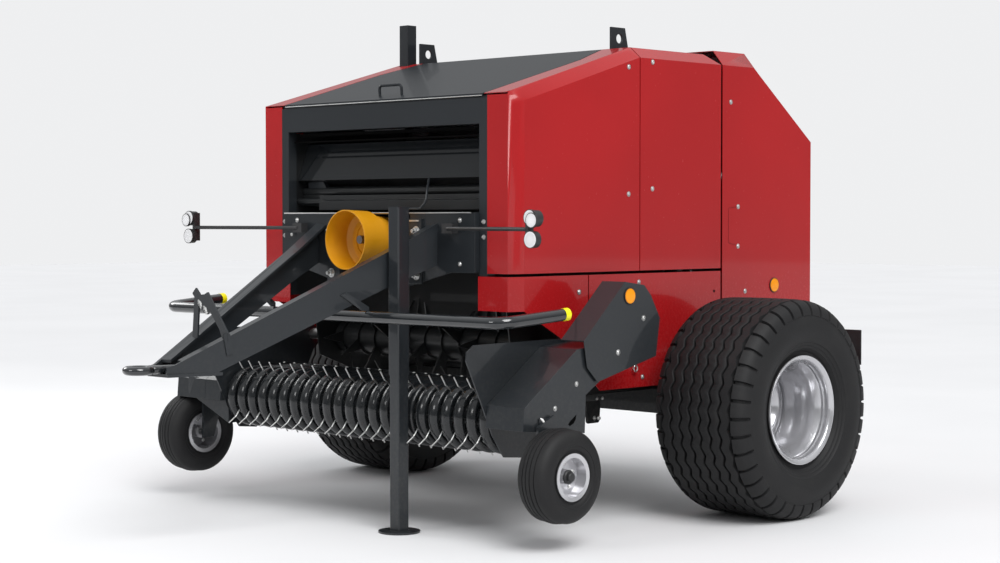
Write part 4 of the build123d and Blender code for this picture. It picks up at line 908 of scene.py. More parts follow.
# ---- pick-up ---------------------------------------------------------------------------
@dataclass
class PickupBands:
    """The row of pressed stripper bands that the tines come up between."""

    count: int = 23
    width: float = 0.052
    crown: float = 0.010
    lip: float = 0.010
    thickness: float = 0.003
    arc_steps: int = 22

    def __post_init__(self) -> None:
        """Reads the bands' place from the CAD."""
        box = Extent.of("pickup_bands")
        self.radius = (box.high.z - box.low.z) / 2
        self.axis_y = box.low.y + self.radius
        self.axis_z = box.middle.z
        self.back = box.high.y
        self.first = box.low.x + self.width / 2
        self.pitch = (box.high.x - box.low.x - self.width) / (self.count - 1)

    def _path(self) -> list[tuple[float, float, float, float]]:
        """(y, z, outward y, outward z) along a band, from its top end round to its bottom end."""
        steps = [(self.back, self.axis_z + self.radius, 0.0, 1.0),
                 ((self.back + self.axis_y) / 2, self.axis_z + self.radius, 0.0, 1.0)]
        for k in range(self.arc_steps + 1):
            angle = pi / 2 + pi * k / self.arc_steps
            steps.append((self.axis_y + self.radius * cos(angle),
                          self.axis_z + self.radius * sin(angle), cos(angle), sin(angle)))
        steps += [((self.back + self.axis_y) / 2, self.axis_z - self.radius, 0.0, -1.0),
                  (self.back, self.axis_z - self.radius, 0.0, -1.0)]
        return steps

    def bands(self) -> bpy.types.Object:
        """The bands, crowned across and turned in at their edges."""
        half = self.width / 2
        outer = [(-half, -self.crown - self.lip), (-half, -self.crown),
                 (-0.8 * half, -0.55 * self.crown), (-0.55 * half, -0.22 * self.crown),
                 (-0.28 * half, -0.05 * self.crown), (0.0, 0.0)]
        outer += [(-x, drop) for x, drop in outer[-2::-1]]
        inner = [(x * (1 - self.thickness / half), drop - self.thickness)
                 for x, drop in outer[::-1]]
        inner[0] = (inner[0][0], outer[0][1])
        inner[-1] = (inner[-1][0], outer[0][1])
        form = Form("pickup_band_row")
        for band in range(self.count):
            x0 = self.first + band * self.pitch
            rows = [[Vector((x0 + x, y + oy * drop, z + oz * drop)) for x, drop in outer + inner]
                    for y, z, oy, oz in self._path()]
            form.grid(rows, round_columns=True)
            form.cap(rows[0])
            form.cap(rows[-1], flip=True)
        piece = form.build("pickup", BAND_GLOSS, "frame_paint", 50.0)
        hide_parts("pickup_bands")
        return piece

    def fasteners(self) -> bpy.types.Object:
        """The bolts at the rear end of each band."""
        form = Form("pickup_band_bolts")
        for band in range(self.count):
            spot = Vector((self.first + band * self.pitch, self.back - 0.022,
                           self.axis_z + self.radius - 0.0004))
            form.bolt(spot, Vector((0, 0, 1)), 0.006)
        return form.build("pickup", ZINC, "bright_steel")

    def build(self) -> None:
        """Makes the bands and their bolts."""
        self.bands()
        self.fasteners()


# ---- fasteners on the panels -------------------------------------------------------------
@dataclass(frozen=True)
class BoltSpot:
    """A bolt on the outside of a panel, measured from the panel's own edges."""

    node: str
    body: str
    from_front: bool
    fore_aft: float
    from_top: bool
    height: float
    radius: float = 0.0085


@dataclass
class PanelBolts:
    """The button-head bolts of the side panels and doors."""

    side: Side
    spots: tuple[BoltSpot, ...] = (
        BoltSpot("front_door_{}", "front_door_{}", False, 0.072, True, 0.089),
        BoltSpot("front_door_{}", "front_door_{}", False, 0.072, False, 0.325),
        BoltSpot("rear_door_{}", "rear_door_{}", True, 0.080, True, 0.060),
        BoltSpot("rear_door_{}", "rear_door_{}", True, 0.080, False, 0.349),
        BoltSpot("lower_panel_{}", "root", True, 0.405, True, 0.069),
        BoltSpot("lower_panel_{}", "root", True, 0.787, True, 0.037),
        BoltSpot("lower_panel_{}", "root", True, 0.812, False, 0.042),
        BoltSpot("tailgate_shell", "tailgate", True, 0.059, True, 0.229),
        BoltSpot("tailgate_shell", "tailgate", True, 0.169, False, 0.302),
        BoltSpot("tailgate_shell", "tailgate", True, 0.115, False, 0.684),
        BoltSpot("tailgate_shell", "tailgate", True, 0.115, False, 0.506),
    )

    def build(self) -> None:
        """Makes one piece of bolts for each body."""
        forms: dict[str, Form] = {}
        out, word = self.side.out, self.side.word
        for spot in self.spots:
            node, body = spot.node.format(word), spot.body.format(word)
            box = Extent.of(node)
            y = box.low.y + spot.fore_aft if spot.from_front else box.high.y - spot.fore_aft
            z = box.high.z - spot.height if spot.from_top else box.low.z + spot.height
            form = forms.setdefault(body, Form(f"panel_bolts_{word}_{body}"))
            form.bolt(Vector((box.seat(self.side), y, z)), out, spot.radius)
        for body, form in forms.items():
            form.build(body, ZINC, "bright_steel")


# ---- lamps and reflectors ----------------------------------------------------------------
@dataclass
class MarkerLamp:
    """The round lenses of a front marker lamp, with their bezels."""

    side: Side
    radius: float = 0.032

    def build(self) -> None:
        """Makes the two lenses at the top of the lamp's front face and the one at its foot."""
        box = Extent.of(f"marker_lamp_{self.side.word}")
        x = box.outer(self.side) - self.side.value * self.radius
        form = Form(f"marker_lenses_{self.side.word}")
        out = self.side.value
        top, bottom = box.high.z - self.radius, box.low.z + self.radius
        for away, z, radius, lift in ((-0.004, top + 0.003, 0.030, 0.0),
                                      (0.010, top - 0.007, 0.028, 0.006),
                                      (0.0, bottom, self.radius, 0.0)):
            face = Vector((x + out * away, box.low.y + SINK - lift, z))
            form.shade = 0
            form.turn(face, AHEAD, [(-0.010, radius + 0.0012), (0.0015, radius + 0.0012),
                                    (0.0022, radius - 0.001), (0.0015, radius - 0.002)], 40)
            form.shade = 1
            form.turn(face, AHEAD, [(0.0003, radius - 0.0012), (0.0020, radius - 0.0018),
                                    (0.0028, radius * 0.7), (0.0032, radius * 0.4),
                                    (0.0034, 0.0)], 40)
        form.build("root", [BLACK_PLASTIC, WHITE_LENS], "lamp_plastic")


@dataclass
class SideReflectors:
    """Round amber reflectors on the drive guard, the tailgate and the right lower panel."""

    radius: float = 0.032

    def _disc(self, name: str, body: str, spot: Vector, out: Vector) -> None:
        """One reflector in its black ring."""
        form = Form(name)
        form.turn(spot, out, [(0.0, self.radius + 0.002), (0.0045, self.radius + 0.002),
                              (0.0055, self.radius), (0.0045, self.radius - 0.001)], 40)
        form.shade = 1
        form.turn(spot, out, [(0.003, self.radius - 0.001), (0.0062, self.radius - 0.002),
                              (0.0070, self.radius * 0.6), (0.0072, 0.0)], 40)
        form.build(body, [BLACK_PLASTIC, AMBER_LENS], "lamp_plastic")

    def build(self) -> None:
        """Makes the reflectors of both sides."""
        guard = Extent.of("drive_guard")
        self._disc("reflector_guard", "root",
                   Vector((guard.high.x - SINK, guard.low.y + 0.276, guard.high.z - 0.058)),
                   Side.LEFT.out)
        gate = Extent.of("tailgate_shell")
        for side in Side:
            spot = Vector((gate.seat(side), gate.low.y + 0.388, gate.low.z + 0.324))
            self._disc(f"reflector_gate_{side.word}", "tailgate", spot, side.out)
        panel = Extent.of("lower_panel_right")
        self._disc("reflector_panel_right", "root",
                   Vector((panel.low.x + SINK, panel.low.y + 0.40, panel.high.z - 0.16)),
                   Side.RIGHT.out)


@dataclass
class RearLamps:
    """The lamp clusters and red triangles on the board behind the tailgate."""

    lens_radius: float = 0.040
    height: float = 0.162
    lens_places: tuple[float, ...] = (0.985, 0.880)
    triangle_place: float = 0.715
    triangle_size: float = 0.062

    def build(self) -> None:
        """Makes a cluster for each end of the board."""
        board = Extent.of("lamp_board")
        face = board.high.y - SINK
        low, high = board.low.z, board.low.z + self.height
        bezel, size = self.lens_radius, self.triangle_size
        for side in Side:
            form = Form(f"rear_lamps_{side.word}")
            middle = (low + high) / 2
            for shade, x in enumerate(self.lens_places, 1):
                spot = Vector((side.value * x, face, middle))
                form.shade = 0
                form.turn(spot, BACK, [(0.0, bezel + 0.004), (0.006, bezel + 0.004),
                                       (0.008, bezel), (0.006, bezel - 0.001)], 36)
                form.shade = shade
                form.turn(spot, BACK, [(0.004, bezel - 0.001), (0.0085, bezel - 0.003),
                                       (0.0092, 0.02), (0.0095, 0.0)], 36)
            form.shade = 1
            tip = Vector((side.value * self.triangle_place, face, middle))
            corners = [tip + Vector((size * cos(a), 0, size * sin(a) - 0.012))
                       for a in (pi / 2, pi * 7 / 6, pi * 11 / 6)]
            form.slab(corners, BACK * 0.006)
            form.build("tailgate", [BLACK_PLASTIC, RED_LENS, AMBER_LENS], "lamp_plastic")


# ---- front details -----------------------------------------------------------------------
@dataclass
class TowingEye:
    """The drawbar's forged eye, rounded all over, with its shank."""

    hole: float = 0.026
    steps: int = 44
    ring_sides: int = 14
    shank_sides: int = 20

    @staticmethod
    def _swell(wave: float) -> float:
        """The factor on a sine or cosine that makes a circle squarer."""
        return abs(wave) ** -0.4 if abs(wave) > 0.02 else 1

    def build(self) -> None:
        """Makes the forging that stands for the plain CAD eye."""
        box = Extent.of("towing_eye")
        reach, tall = (box.high.x - box.low.x) / 2, (box.high.z - box.low.z) / 2
        centre = Vector((box.middle.x, box.low.y + reach, box.middle.z))
        ring, thick = (reach + self.hole) / 2, (reach - self.hole) / 2
        form = Form("forged_eye")
        rows = []
        for k in range(self.steps):
            angle = 2 * pi * k / self.steps
            out = Vector((cos(angle), sin(angle), 0))
            rows.append([centre + out * (ring + thick * cos(a)) + Vector((0, 0, tall * sin(a)))
                         for a in (2 * pi * m / self.ring_sides
                                   for m in range(self.ring_sides))])
        form.grid(rows, round_rows=True, round_columns=True)
        shank = []
        for along, wide, high in ((0.036, 0.020, 0.012), (0.046, 0.034, 0.0155),
                                  (0.066, 0.037, 0.017), (0.090, 0.033, 0.0165),
                                  (0.120, 0.031, 0.016), (0.150, 0.035, 0.0168),
                                  (0.170, 0.0385, 0.017), (0.235, 0.0385, 0.017)):
            spot = Vector((centre.x, centre.y + along, centre.z))
            shank.append([spot + Vector((wide * cos(a) * self._swell(cos(a)), 0,
                                         high * sin(a) * self._swell(sin(a))))
                          for a in (2 * pi * m / self.shank_sides
                                    for m in range(self.shank_sides))])
        form.grid(shank, round_columns=True)
        form.cap(shank[0])
        form.cap(shank[-1], flip=True)
        piece = form.build("root", GLOSSY_ANTHRACITE, "frame_paint", 60.0)
        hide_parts("towing_eye")


@dataclass
class NetStore:
    """What shows of the net store in the front opening, much of it in painted shade, with painted
    highlights on the edges round it.
    """

    teeth: int = 96
    strip_start: float = -0.43
    strip_depth: float = 0.004
    end_gap: float = 0.012
    knife_margin: float = 0.04
    lever_radius: float = 0.0045

    def __post_init__(self) -> None:
        """Reads the opening's place from the CAD."""
        plate = Extent.of("cross_member")
        self.front, self.sill = plate.low.y, plate.high.z
        self.half = plate.high.x - self.end_gap

    def _strip(self, form: Form, start: float, back: float, low: float, high: float) -> None:
        """A level strip up to the opening's left end.

        Args:
            form: The form that it is added to.
            start: X of its right end.
            back: How far it stands behind the cross member's face.
            low: Height of its lower edge above the sill.
            high: Height of its upper edge above the sill.
        """
        y, z0, z1 = self.front + back, self.sill + low, self.sill + high
        form.slab([Vector((start, y, z0)), Vector((self.half, y, z0)), Vector((self.half, y, z1)),
                   Vector((start, y, z1))], Vector((0, self.strip_depth, 0)))

    def strips(self) -> None:
        """The cover strips over the cross member, in the anthracite darkened for painted shade, and
        above them a lath of painted shade.
        """
        form = Form("net_store_strips")
        self._strip(form, self.strip_start, 0.070, 0.012, 0.053)
        self._strip(form, self.strip_start, 0.073, 0.060, 0.077)
        form.build("root", SHADED_ANTHRACITE, "frame_paint", bevel=0.0015)
        form = Form("net_store_shade_lath")
        self._strip(form, -self.half, 0.058, 0.309, 0.316)
        form.build("root", PAINTED_SHADE, "frame_paint")

    def brake(self) -> None:
        """The box of the net brake."""
        tray = Extent.of("net_tray")
        form = Form("net_brake_box")
        form.slab([Vector((x, tray.low.y + 0.040, z)) for x, z in (
            (-0.568, 1.333), (-0.448, 1.333), (-0.448, 1.410), (-0.470, 1.440), (-0.568, 1.440))],
            Vector((0, 0.030, 0)))
        form.build("root", ANTHRACITE, "frame_paint", bevel=0.002)

    def knife(self) -> None:
        """The toothed knife, drawn in painted shade, and steel points along the middle stretch of
        the teeth only, standing for painted glints there.
        """
        form = Form("net_knife")
        y, low = self.front + 0.060, self.sill + 0.333
        end = self.half - self.knife_margin
        pitch = 2 * end / self.teeth
        edge = []
        for k in range(self.teeth):
            x = -self.half + self.knife_margin + k * pitch
            edge += [Vector((x, y, low)), Vector((x + pitch / 2, y, self.sill + 0.3405))]
        top = [Vector((end, y, low)), Vector((end, y, self.sill + 0.348)),
               Vector((-self.half + self.knife_margin, y, self.sill + 0.348))]
        form.slab(edge + top, Vector((0, 0.002, 0)))
        form.build("root", PAINTED_SHADE, "frame_paint")
        form = Form("net_knife_tooth_glints")
        for k in range(self.teeth // 4):
            spot = Vector((-0.11 + 0.0105 * k, self.front + 0.0585, self.sill + 0.351))
            form.turn(spot, AHEAD, [(0.0, 0.0022), (0.002, 0.0016), (0.002, 0.0)], 8)
        form.build("root", SLAT_STEEL, "slat_steel")

    def lever(self) -> None:
        """The bent lever in front of the cross member."""
        form = Form("net_lever")
        near = self.front - 0.009
        route = [(0.262, self.front + 0.076, 1.434), (0.300, self.front + 0.030, 1.392),
                 (0.3353, near, 1.352), (0.326, near, 1.334), (0.3043, near, 1.3155),
                 (0.286, near, 1.3115), (0.175, near, 1.3105), (0.158, near, 1.306),
                 (0.149, near, 1.292), (0.1514, near, 1.272)]
        form.bar([Vector(spot) for spot in route], self.lever_radius)
        form.build("root", ANTHRACITE, "frame_paint", 60.0)

    def edges(self) -> None:
        """Painted highlights: plated bars along the edges of the sill and of the hood above the
        opening, standing for the light caught on those edges.
        """
        form = Form("sill_edge")
        y, z = self.front + 0.0012, self.sill - 0.0012
        form.bar([Vector((-self.half, y, z)), Vector((self.half, y, z))], 0.0030, 12)
        form.build("root", ZINC, "frame_paint", 60.0)
        lid = Extent.of("hood")
        form = Form("lid_edge")
        reach, y, z = lid.high.x - 0.004, lid.low.y + 0.0010, lid.low.z + 0.0030
        form.bar([Vector((-reach, y, z)), Vector((reach, y, z))], 0.0024, 12)
        form.build("hood", ZINC, "frame_paint", 60.0)

    def build(self) -> None:
        """Makes the pieces behind, over and on the cross member."""
        self.strips()
        self.brake()
        self.knife()
        self.lever()
        self.edges()


@dataclass
class ShieldLiner:
    """The yellow diaphragm inside the shaft shield, with the ring that stiffens it."""

    steps: int = 56
    inside: float = 0.128

    def build(self) -> None:
        """Makes the diaphragm round the stub."""
        shield, stub = Extent.of("pto_shield"), Extent.of("pto_stub")
        centre = Vector((stub.middle.x, shield.low.y + self.inside, stub.middle.z))
        form = Form("shield_liner")
        form.lathe(centre, BACK,
                   [(0.0, 0.1000), (0.002, 0.0930), (0.002, 0.0800), (-0.004, 0.0770),
                    (-0.004, 0.0700), (0.002, 0.0670), (0.002, 0.0300), (0.005, 0.0300),
                    (0.005, 0.1000), (0.0, 0.1000)], self.steps)
        form.build("root", YELLOW, "shield_plastic", 50.0)


@dataclass
class HoseClamps:
    """The two hose ends parked in the holder on the drawbar."""

    radius: float = 0.0085
    ends: tuple[tuple[Point, Point], ...] = (
        ((-0.056, -1.296, 0.952), (-0.028, -1.306, 0.922)),
        ((-0.022, -1.296, 0.928), (0.006, -1.306, 0.900)),
    )

    def build(self) -> None:
        """Makes the couplers between the holder's two bars."""
        form = Form("hose_ends")
        r = self.radius
        for start, end in self.ends:
            first, last = Vector(start), Vector(end)
            run = last - first
            form.turn(first, run, [(0.0, r * 0.6), (0.004, r), (0.016, r), (0.018, r * 1.25),
                                   (0.026, r * 1.25), (0.028, r * 0.8), (run.length, r * 0.8)],
                      16)
        form.build("root", ZINC, "bright_steel")


@dataclass
class CaseFace:
    """The right-hand pick-up case's front sheet, which reaches out over its gauge wheel."""

    outer_x: float = -1.064
    depth: float = 0.045

    def build(self) -> None:
        """Makes the sheet and the case behind it as far as the wheel's arm."""
        case, arm = Extent.of("pickup_case_right"), Extent.of("gauge_arm_right")
        front = case.low.y
        form = Form("case_face_right")
        inner = case.high.x + 0.003
        form.slab([Vector((inner, front + 0.045, 0.552)), Vector((self.outer_x, front, 0.550)),
                   Vector((self.outer_x, front - 0.001, 0.480)),
                   Vector((inner, front + 0.045, 0.352))], Vector((0, self.depth, 0)))
        wing = [(front + 0.007, 0.545), (front, 0.457), (front + 0.356, 0.425),
                (front + 0.362, 0.575), (front + 0.310, 0.758)]
        form.slab([Vector((case.low.x, y, z)) for y, z in wing],
                  Vector((arm.low.x + 0.018 - case.low.x, 0, 0)))
        form.build("pickup", ANTHRACITE, "frame_paint", bevel=0.002)


@dataclass
class FrameLugs:
    """The lugs that hang from the lower frame behind the pick-up's pivot, with their bolts."""

    face_x: float = 0.6862
    thickness: float = 0.010
    bolt_sink: float = 0.0004
    lug_bolt: float = 0.0072
    frame_bolt: float = 0.0060

    OUTLINE: ClassVar[tuple[tuple[float, float], ...]] = (
        (0.149, 0.500), (0.149, 0.480), (0.156, 0.414), (0.163, 0.4065), (0.227, 0.4065),
        (0.235, 0.413), (0.2405, 0.470), (0.2405, 0.500),
    )

    def build(self) -> None:
        """Makes a lug on each side, with two hexagon bolts on it and two bolts above it."""
        for side in Side:
            plate = Form(f"frame_lug_{side.word}")
            bolts = Form(f"frame_lug_bolts_{side.word}")
            plate.slab([Vector((side.value * self.face_x, y, z)) for y, z in self.OUTLINE],
                       side.out * self.thickness)
            for y, z, on_lug in ((0.2010, 0.4280, True), (0.2290, 0.4255, True),
                                 (0.2298, 0.507, False), (0.2651, 0.507, False)):
                stand = self.face_x + self.thickness * on_lug - self.bolt_sink
                bolts.bolt(Vector((side.value * stand, y, z)), side.out,
                           self.lug_bolt if on_lug else self.frame_bolt, hexed=on_lug)
            plate.build("root", SHADED_ANTHRACITE, "frame_paint", bevel=0.002)
            bolts.build("root", ZINC, "bright_steel")


@dataclass
class PanelMarks:
    """The fine outline of a flap in the tailgate, drawn in a darker red as painted shade in its
    crease, and a round hole in each lower panel, drawn as a disc of painted shade.
    """

    line: float = 0.0013
    line_sink: float = 0.0003

    def build(self) -> None:
        """Makes the outline and the hole on each side."""
        gate = Extent.of("tailgate_shell")
        for side in Side:
            x = gate.outer(side) - side.value * self.line_sink
            form = Form(f"flap_outline_{side.word}")
            form.bar([Vector((x, gate.low.y + y, gate.low.z + z)) for y, z in (
                (0.120, 0.686), (0.047, 0.677), (0.044, 0.674), (0.044, 0.524), (0.047, 0.521),
                (0.121, 0.508))], self.line, 6)
            form.build("tailgate", RED_CREASE_SHADE, "body_paint")
            panel = Extent.of(f"lower_panel_{side.word}")
            form = Form(f"sill_hole_{side.word}")
            form.turn(Vector((panel.outer(side), panel.high.y - 0.0465, panel.low.z + 0.396)),
                      side.out, [(0.0, 0.0065), (0.0006, 0.0062), (0.0006, 0.0)], 18)
            form.build("root", PAINTED_SHADE, "body_paint")


@dataclass
class FrontFasteners:
    """Bolts of the cross member, the posts, the drive guard and the pick-up cases."""

    post_bolt: float = 0.0080
    plate_bolt: float = 0.0058
    beam_bolt: float = 0.0075
    guard_bolt: float = 0.0090
    case_bolt: float = 0.0078
    clip: float = 0.0052

    def _stud(self, form: Form, spot: Vector) -> None:
        """A nut on its washer, with the end of its stud."""
        form.turn(spot, AHEAD, [(0.0, 0.020), (0.003, 0.020), (0.003, 0.0)], 24)
        form.turn(spot, AHEAD, [(0.003, 0.0145), (0.014, 0.0145), (0.016, 0.012), (0.016, 0.0)],
                  6)
        form.turn(spot, AHEAD, [(0.016, 0.008), (0.027, 0.008), (0.028, 0.0065), (0.028, 0.0)],
                  16)

    def plate_bolts(self) -> None:
        """The bolts on the cross member and the posts beside it."""
        plate = Extent.of("cross_member")
        face = plate.low.y + SINK
        form = Form("bracket_bolts")
        for side in Side:
            for z in (plate.high.z - 0.076, plate.high.z - 0.259):
                self._stud(form, Vector((side.value * 0.266, face, z)))
            for z in (plate.high.z - 0.0315, plate.high.z - 0.209):
                form.bolt(Vector((side.value * 0.510, plate.low.y + 0.0122, z)), AHEAD,
                          self.post_bolt)
        # A small plated keeper bar, put where a bright line shows on the bracket; it also stands
        # for the highlight along that edge.
        form.slab([Vector((x, face, z)) for x, z in (
            (0.216, 1.2585), (0.284, 1.2585), (0.284, 1.2645), (0.216, 1.2645))], AHEAD * 0.004)
        for x, z in ((-0.5336, 1.200), (-0.510, 1.136), (-0.4047, 1.2015), (-0.3432, 1.2197)):
            form.bolt(Vector((x, face, z)), AHEAD, self.plate_bolt)
        form.build("root", ZINC, "bright_steel")
        post = Extent.of("front_frame")
        form = Form("post_bolts")
        for side in Side:
            for z in (1.2575, 1.196):
                form.bolt(Vector((side.value * 0.622, post.low.y + SINK, z)), AHEAD,
                          self.beam_bolt, hexed=True)
        form.build("root", ZINC, "bright_steel")

    def guard_bolts(self) -> None:
        """The drive guard's bolts, and the eye bolt behind it."""
        guard, panel = Extent.of("drive_guard"), Extent.of("lower_panel_left")
        left = Side.LEFT.out
        form = Form("guard_bolts")
        for y, z in ((guard.low.y + 0.364, guard.high.z - 0.150),
                     (guard.low.y + 0.206, guard.high.z - 0.282)):
            form.bolt(Vector((guard.high.x - SINK, y, z)), left, self.guard_bolt)
        spot = Vector((panel.high.x, panel.low.y + 0.751, panel.low.z + 0.082))
        ring = [spot + Vector((0.014, 0.011 * cos(a), 0.013 * sin(a)))
                for a in (2 * pi * k / 20 for k in range(21))]
        form.bar(ring, 0.0035)
        form.bar([spot - left * 0.001, spot + left * 0.013 + Vector((0, 0, 0.013))], 0.004)
        form.build("root", ZINC, "bright_steel")

    def case_bolts(self) -> None:
        """The pick-up cases' bolts, their slots drawn as flat painted shade, and white clips."""
        form, dark, clips = Form("case_bolts"), Form("case_slot_shades"), Form("case_clips")
        for side in Side:
            case = Extent.of(f"pickup_case_{side.word}")
            face = case.seat(side)
            for y, z in ((0.305, 0.197), (0.181, 0.109)):
                form.bolt(Vector((face, case.low.y + y, case.low.z + z)), side.out,
                          self.case_bolt)
            hook = [(0.0, -0.4990, 0.4990), (0.006, -0.4930, 0.4963), (0.007, -0.4855, 0.4860),
                    (0.007, -0.4823, 0.4790), (0.007, -0.4850, 0.4660), (0.007, -0.4885, 0.4530)]
            clips.bar([Vector((face + side.value * away, y, z)) for away, y, z in hook],
                      self.clip)
            slot = [(-0.2908, 0.5014), (-0.2938, 0.4840), (-0.3050, 0.4690), (-0.3281, 0.4590),
                    (-0.3386, 0.4663), (-0.3250, 0.4790), (-0.3080, 0.4900)]
            dark.slab([Vector((face, y, z)) for y, z in slot], side.out * 0.0006)
        form.build("pickup", ZINC, "bright_steel")
        dark.build("pickup", PAINTED_SHADE, "frame_paint")
        clips.build("pickup", WHITE_CLIP, "bright_steel", 60.0)

    def build(self) -> None:
        """Makes them all."""
        self.plate_bolts()
        self.guard_bolts()
        self.case_bolts()


# ---- carried-over CAD nodes ---------------------------------------------------------------
@dataclass
class CadDressing:
    """Gives every CAD node the finish of its slot, and rounds its sharp edges a little."""

    edge: float = 0.0016
    sharp: float = 35.0
    tray_edge: float = 1.425
    reel_painted: float = 0.094

    ROUNDED: ClassVar[tuple[str, ...]] = (
        "hood", "front_frame", "cross_member", "drawbar", "drive_guard", "roof_panel",
        "roof_strip_left", "roof_strip_right", "front_door_left", "front_door_right",
        "rear_door_left", "rear_door_right", "lower_panel_left", "lower_panel_right",
        "tailgate_shell", "pickup_case_left", "pickup_case_right", "stand_tube", "roof_frame",
    )
    # The inner and under parts take the anthracite darkened for painted shade.
    SPECIAL: ClassVar[dict[str, Finish]] = {
        "chamber_wall_left": SHADED_ANTHRACITE, "chamber_wall_right": SHADED_ANTHRACITE,
        "lower_frame": SHADED_ANTHRACITE, "axle": SHADED_ANTHRACITE, "hood": LID_ANTHRACITE,
        "roof_panel": LID_ANTHRACITE, "pto_stub": SLAT_STEEL, "feed_rotor": SHADED_ANTHRACITE,
        "gearbox": SHADED_ANTHRACITE, "tailgate_frame": SHADED_ANTHRACITE, "guard_bow": GLOSSY_ANTHRACITE,
        "cylinder_rod_left": ROD_STEEL, "cylinder_rod_right": ROD_STEEL,
    }

    def reel(self) -> Finish:
        """The tine reel's finish, centred on its axis."""
        bands = Extent.of("pickup_bands")
        radius = (bands.high.z - bands.low.z) / 2
        return ReelSteel("finish_tine_reel", (bands.low.y + radius, bands.middle.z),
                         self.reel_painted)

    def tray(self, node: bpy.types.Object) -> None:
        """Enamel, deepened for painted shade, on the net tray above its edge, and the anthracite
        darkened for painted shade below.
        """
        node.data.materials.clear()
        node.data.materials.append(TRAY_GLOSS_SHADED.material())
        node.data.materials.append(SHADED_ANTHRACITE.material())
        for face in node.data.polygons:
            face.material_index = int((node.matrix_world @ face.center).z < self.tray_edge)

    def build(self) -> None:
        """Dresses each node."""
        slots = {part["node"]: part["material_slot"] for part in frame["record"]["subparts"]}
        special = dict(self.SPECIAL, tine_reel=self.reel())
        for name, node in frame["nodes"].items():
            finish = special.get(name) or SLOT_FINISH[slots[name]]
            node.data.materials.clear()
            node.data.materials.append(finish.material())
            if name == "net_tray":
                self.tray(node)
            if name in self.ROUNDED:
                weld = node.modifiers.new("weld", "WELD")
                weld.merge_threshold = WELD
                round_edges(node, self.edge, self.sharp)
            LOG.info("node %s: %s", name, finish.name)


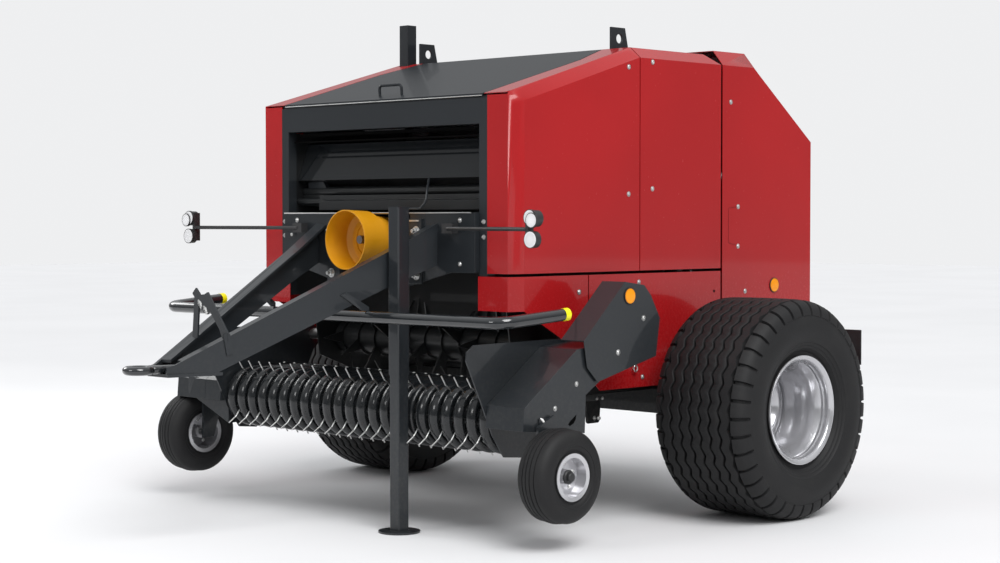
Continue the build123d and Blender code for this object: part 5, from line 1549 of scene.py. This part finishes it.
# ---- studio ------------------------------------------------------------------------------
@dataclass
class Studio:
    """The floor, the light and the camera."""

    eye: Point = (6.1543, -6.0106, 1.2730)
    yaw: float = 44.068
    pitch: float = 1.857
    lens: float = 70.56
    sensor: float = 36.0
    far: float = 200.0
    floor_half: float = 40.0
    horizon: float = 0.22
    zenith: float = 0.85
    rise: tuple[float, float] = (-0.05, 0.85)
    sky: Colour = (0.97, 0.985, 1.0)
    backdrop: Colour = (0.86, 0.865, 0.875)
    sun_from: Point = (0.58, -0.22, 0.78)
    sun_power: float = 2.1
    sun_angle: float = 35.0

    def camera(self) -> None:
        """A long lens from the machine's left front, at standing height."""
        data = bpy.data.cameras.new("camera")
        data.lens, data.sensor_width = self.lens, self.sensor
        data.clip_end = self.far
        seen = bpy.data.objects.new("camera", data)
        seen.location = self.eye
        seen.rotation_euler = (radians(90.0 - self.pitch), 0.0, radians(self.yaw))
        bpy.context.scene.collection.objects.link(seen)
        bpy.context.scene.camera = seen

    def floor(self) -> None:
        """A level sweep under and behind the machine."""
        mesh = bpy.data.meshes.new("studio_floor")
        h = self.floor_half
        mesh.from_pydata([(-h, -h, 0), (h, -h, 0), (h, h, 0), (-h, h, 0)], [], [(0, 1, 2, 3)])
        mesh.materials.append(FLOOR.material())
        floor = bpy.data.objects.new("studio_floor", mesh)
        bpy.context.scene.collection.objects.link(floor)

    def world(self) -> None:
        """A sky that is brighter overhead, and plain pale where the camera sees it."""
        world = bpy.data.worlds.new("studio")
        world.use_nodes = True
        tree = Nodes(world.node_tree)
        sky = tree.nodes["Background"]
        height = tree.output("ShaderNodeTexCoord", "Generated").part("Z")
        glow = tree.add("ShaderNodeMapRange", {"interpolation_type": "SMOOTHSTEP"},
                        {"Value": height, "From Min": self.rise[0], "From Max": self.rise[1],
                         "To Min": self.horizon, "To Max": self.zenith})
        tree.feed(sky, {"Color": (*self.sky, 1.0), "Strength": glow})
        plain = tree.add("ShaderNodeBackground", {}, {"Color": (*self.backdrop, 1.0)})
        seen = tree.output("ShaderNodeLightPath", "Is Camera Ray")
        pick = tree.add("ShaderNodeMixShader", {},
                        {0: seen, 1: Socket(tree, sky.outputs[0]), 2: plain})
        tree.feed(tree.nodes["World Output"], {"Surface": pick})
        bpy.context.scene.world = world

    def sun(self) -> None:
        """A broad light from high on the machine's left."""
        data = bpy.data.lights.new("broad_sun", "SUN")
        data.energy, data.angle = self.sun_power, radians(self.sun_angle)
        light = bpy.data.objects.new("broad_sun", data)
        light.rotation_euler = Vector(self.sun_from).to_track_quat("Z", "Y").to_euler()
        bpy.context.scene.collection.objects.link(light)

    def lamp(self, name: str, place: Point, aim: Point, size: tuple[float, float],
             power: float) -> None:
        """A soft rectangular light.

        Args:
            name: Name of the light.
            place: Where it stands.
            aim: The point that it faces.
            size: Width and height.
            power: Watts.
        """
        data = bpy.data.lights.new(name, "AREA")
        data.shape, data.size, data.size_y, data.energy = "RECTANGLE", size[0], size[1], power
        light = bpy.data.objects.new(name, data)
        light.location = place
        light.rotation_euler = (Vector(aim) - Vector(place)).to_track_quat("-Z", "Y").to_euler()
        bpy.context.scene.collection.objects.link(light)

    def build(self) -> None:
        """Sets up the whole studio."""
        self.camera()
        self.floor()
        self.world()
        self.sun()
        self.lamp("key_light", (7.0, -3.5, 5.5), (0.2, -0.4, 1.0), (3.5, 2.0), 150.0)
        self.lamp("front_light", (-1.0, -8.5, 4.0), (0.0, -0.5, 0.9), (3.0, 1.6), 110.0)
        self.lamp("rear_light", (-6.5, -1.0, 4.0), (0.0, 0.6, 1.0), (3.0, 2.0), 90.0)
        bpy.context.scene.view_settings.view_transform = "Standard"


def main() -> None:
    """Builds everything in order."""
    Studio().build()
    CadDressing().build()
    for side in Side:
        DriveWheel(side).build()
        GaugeWheel(side).build()
        PanelBolts(side).build()
        MarkerLamp(side).build()
    PickupBands().build()
    TowingEye().build()
    NetStore().build()
    ShieldLiner().build()
    HoseClamps().build()
    CaseFace().build()
    FrameLugs().build()
    PanelMarks().build()
    SideReflectors().build()
    RearLamps().build()
    FrontFasteners().build()
    LOG.info("sizes written")


if __name__ == "__main__":
    main()
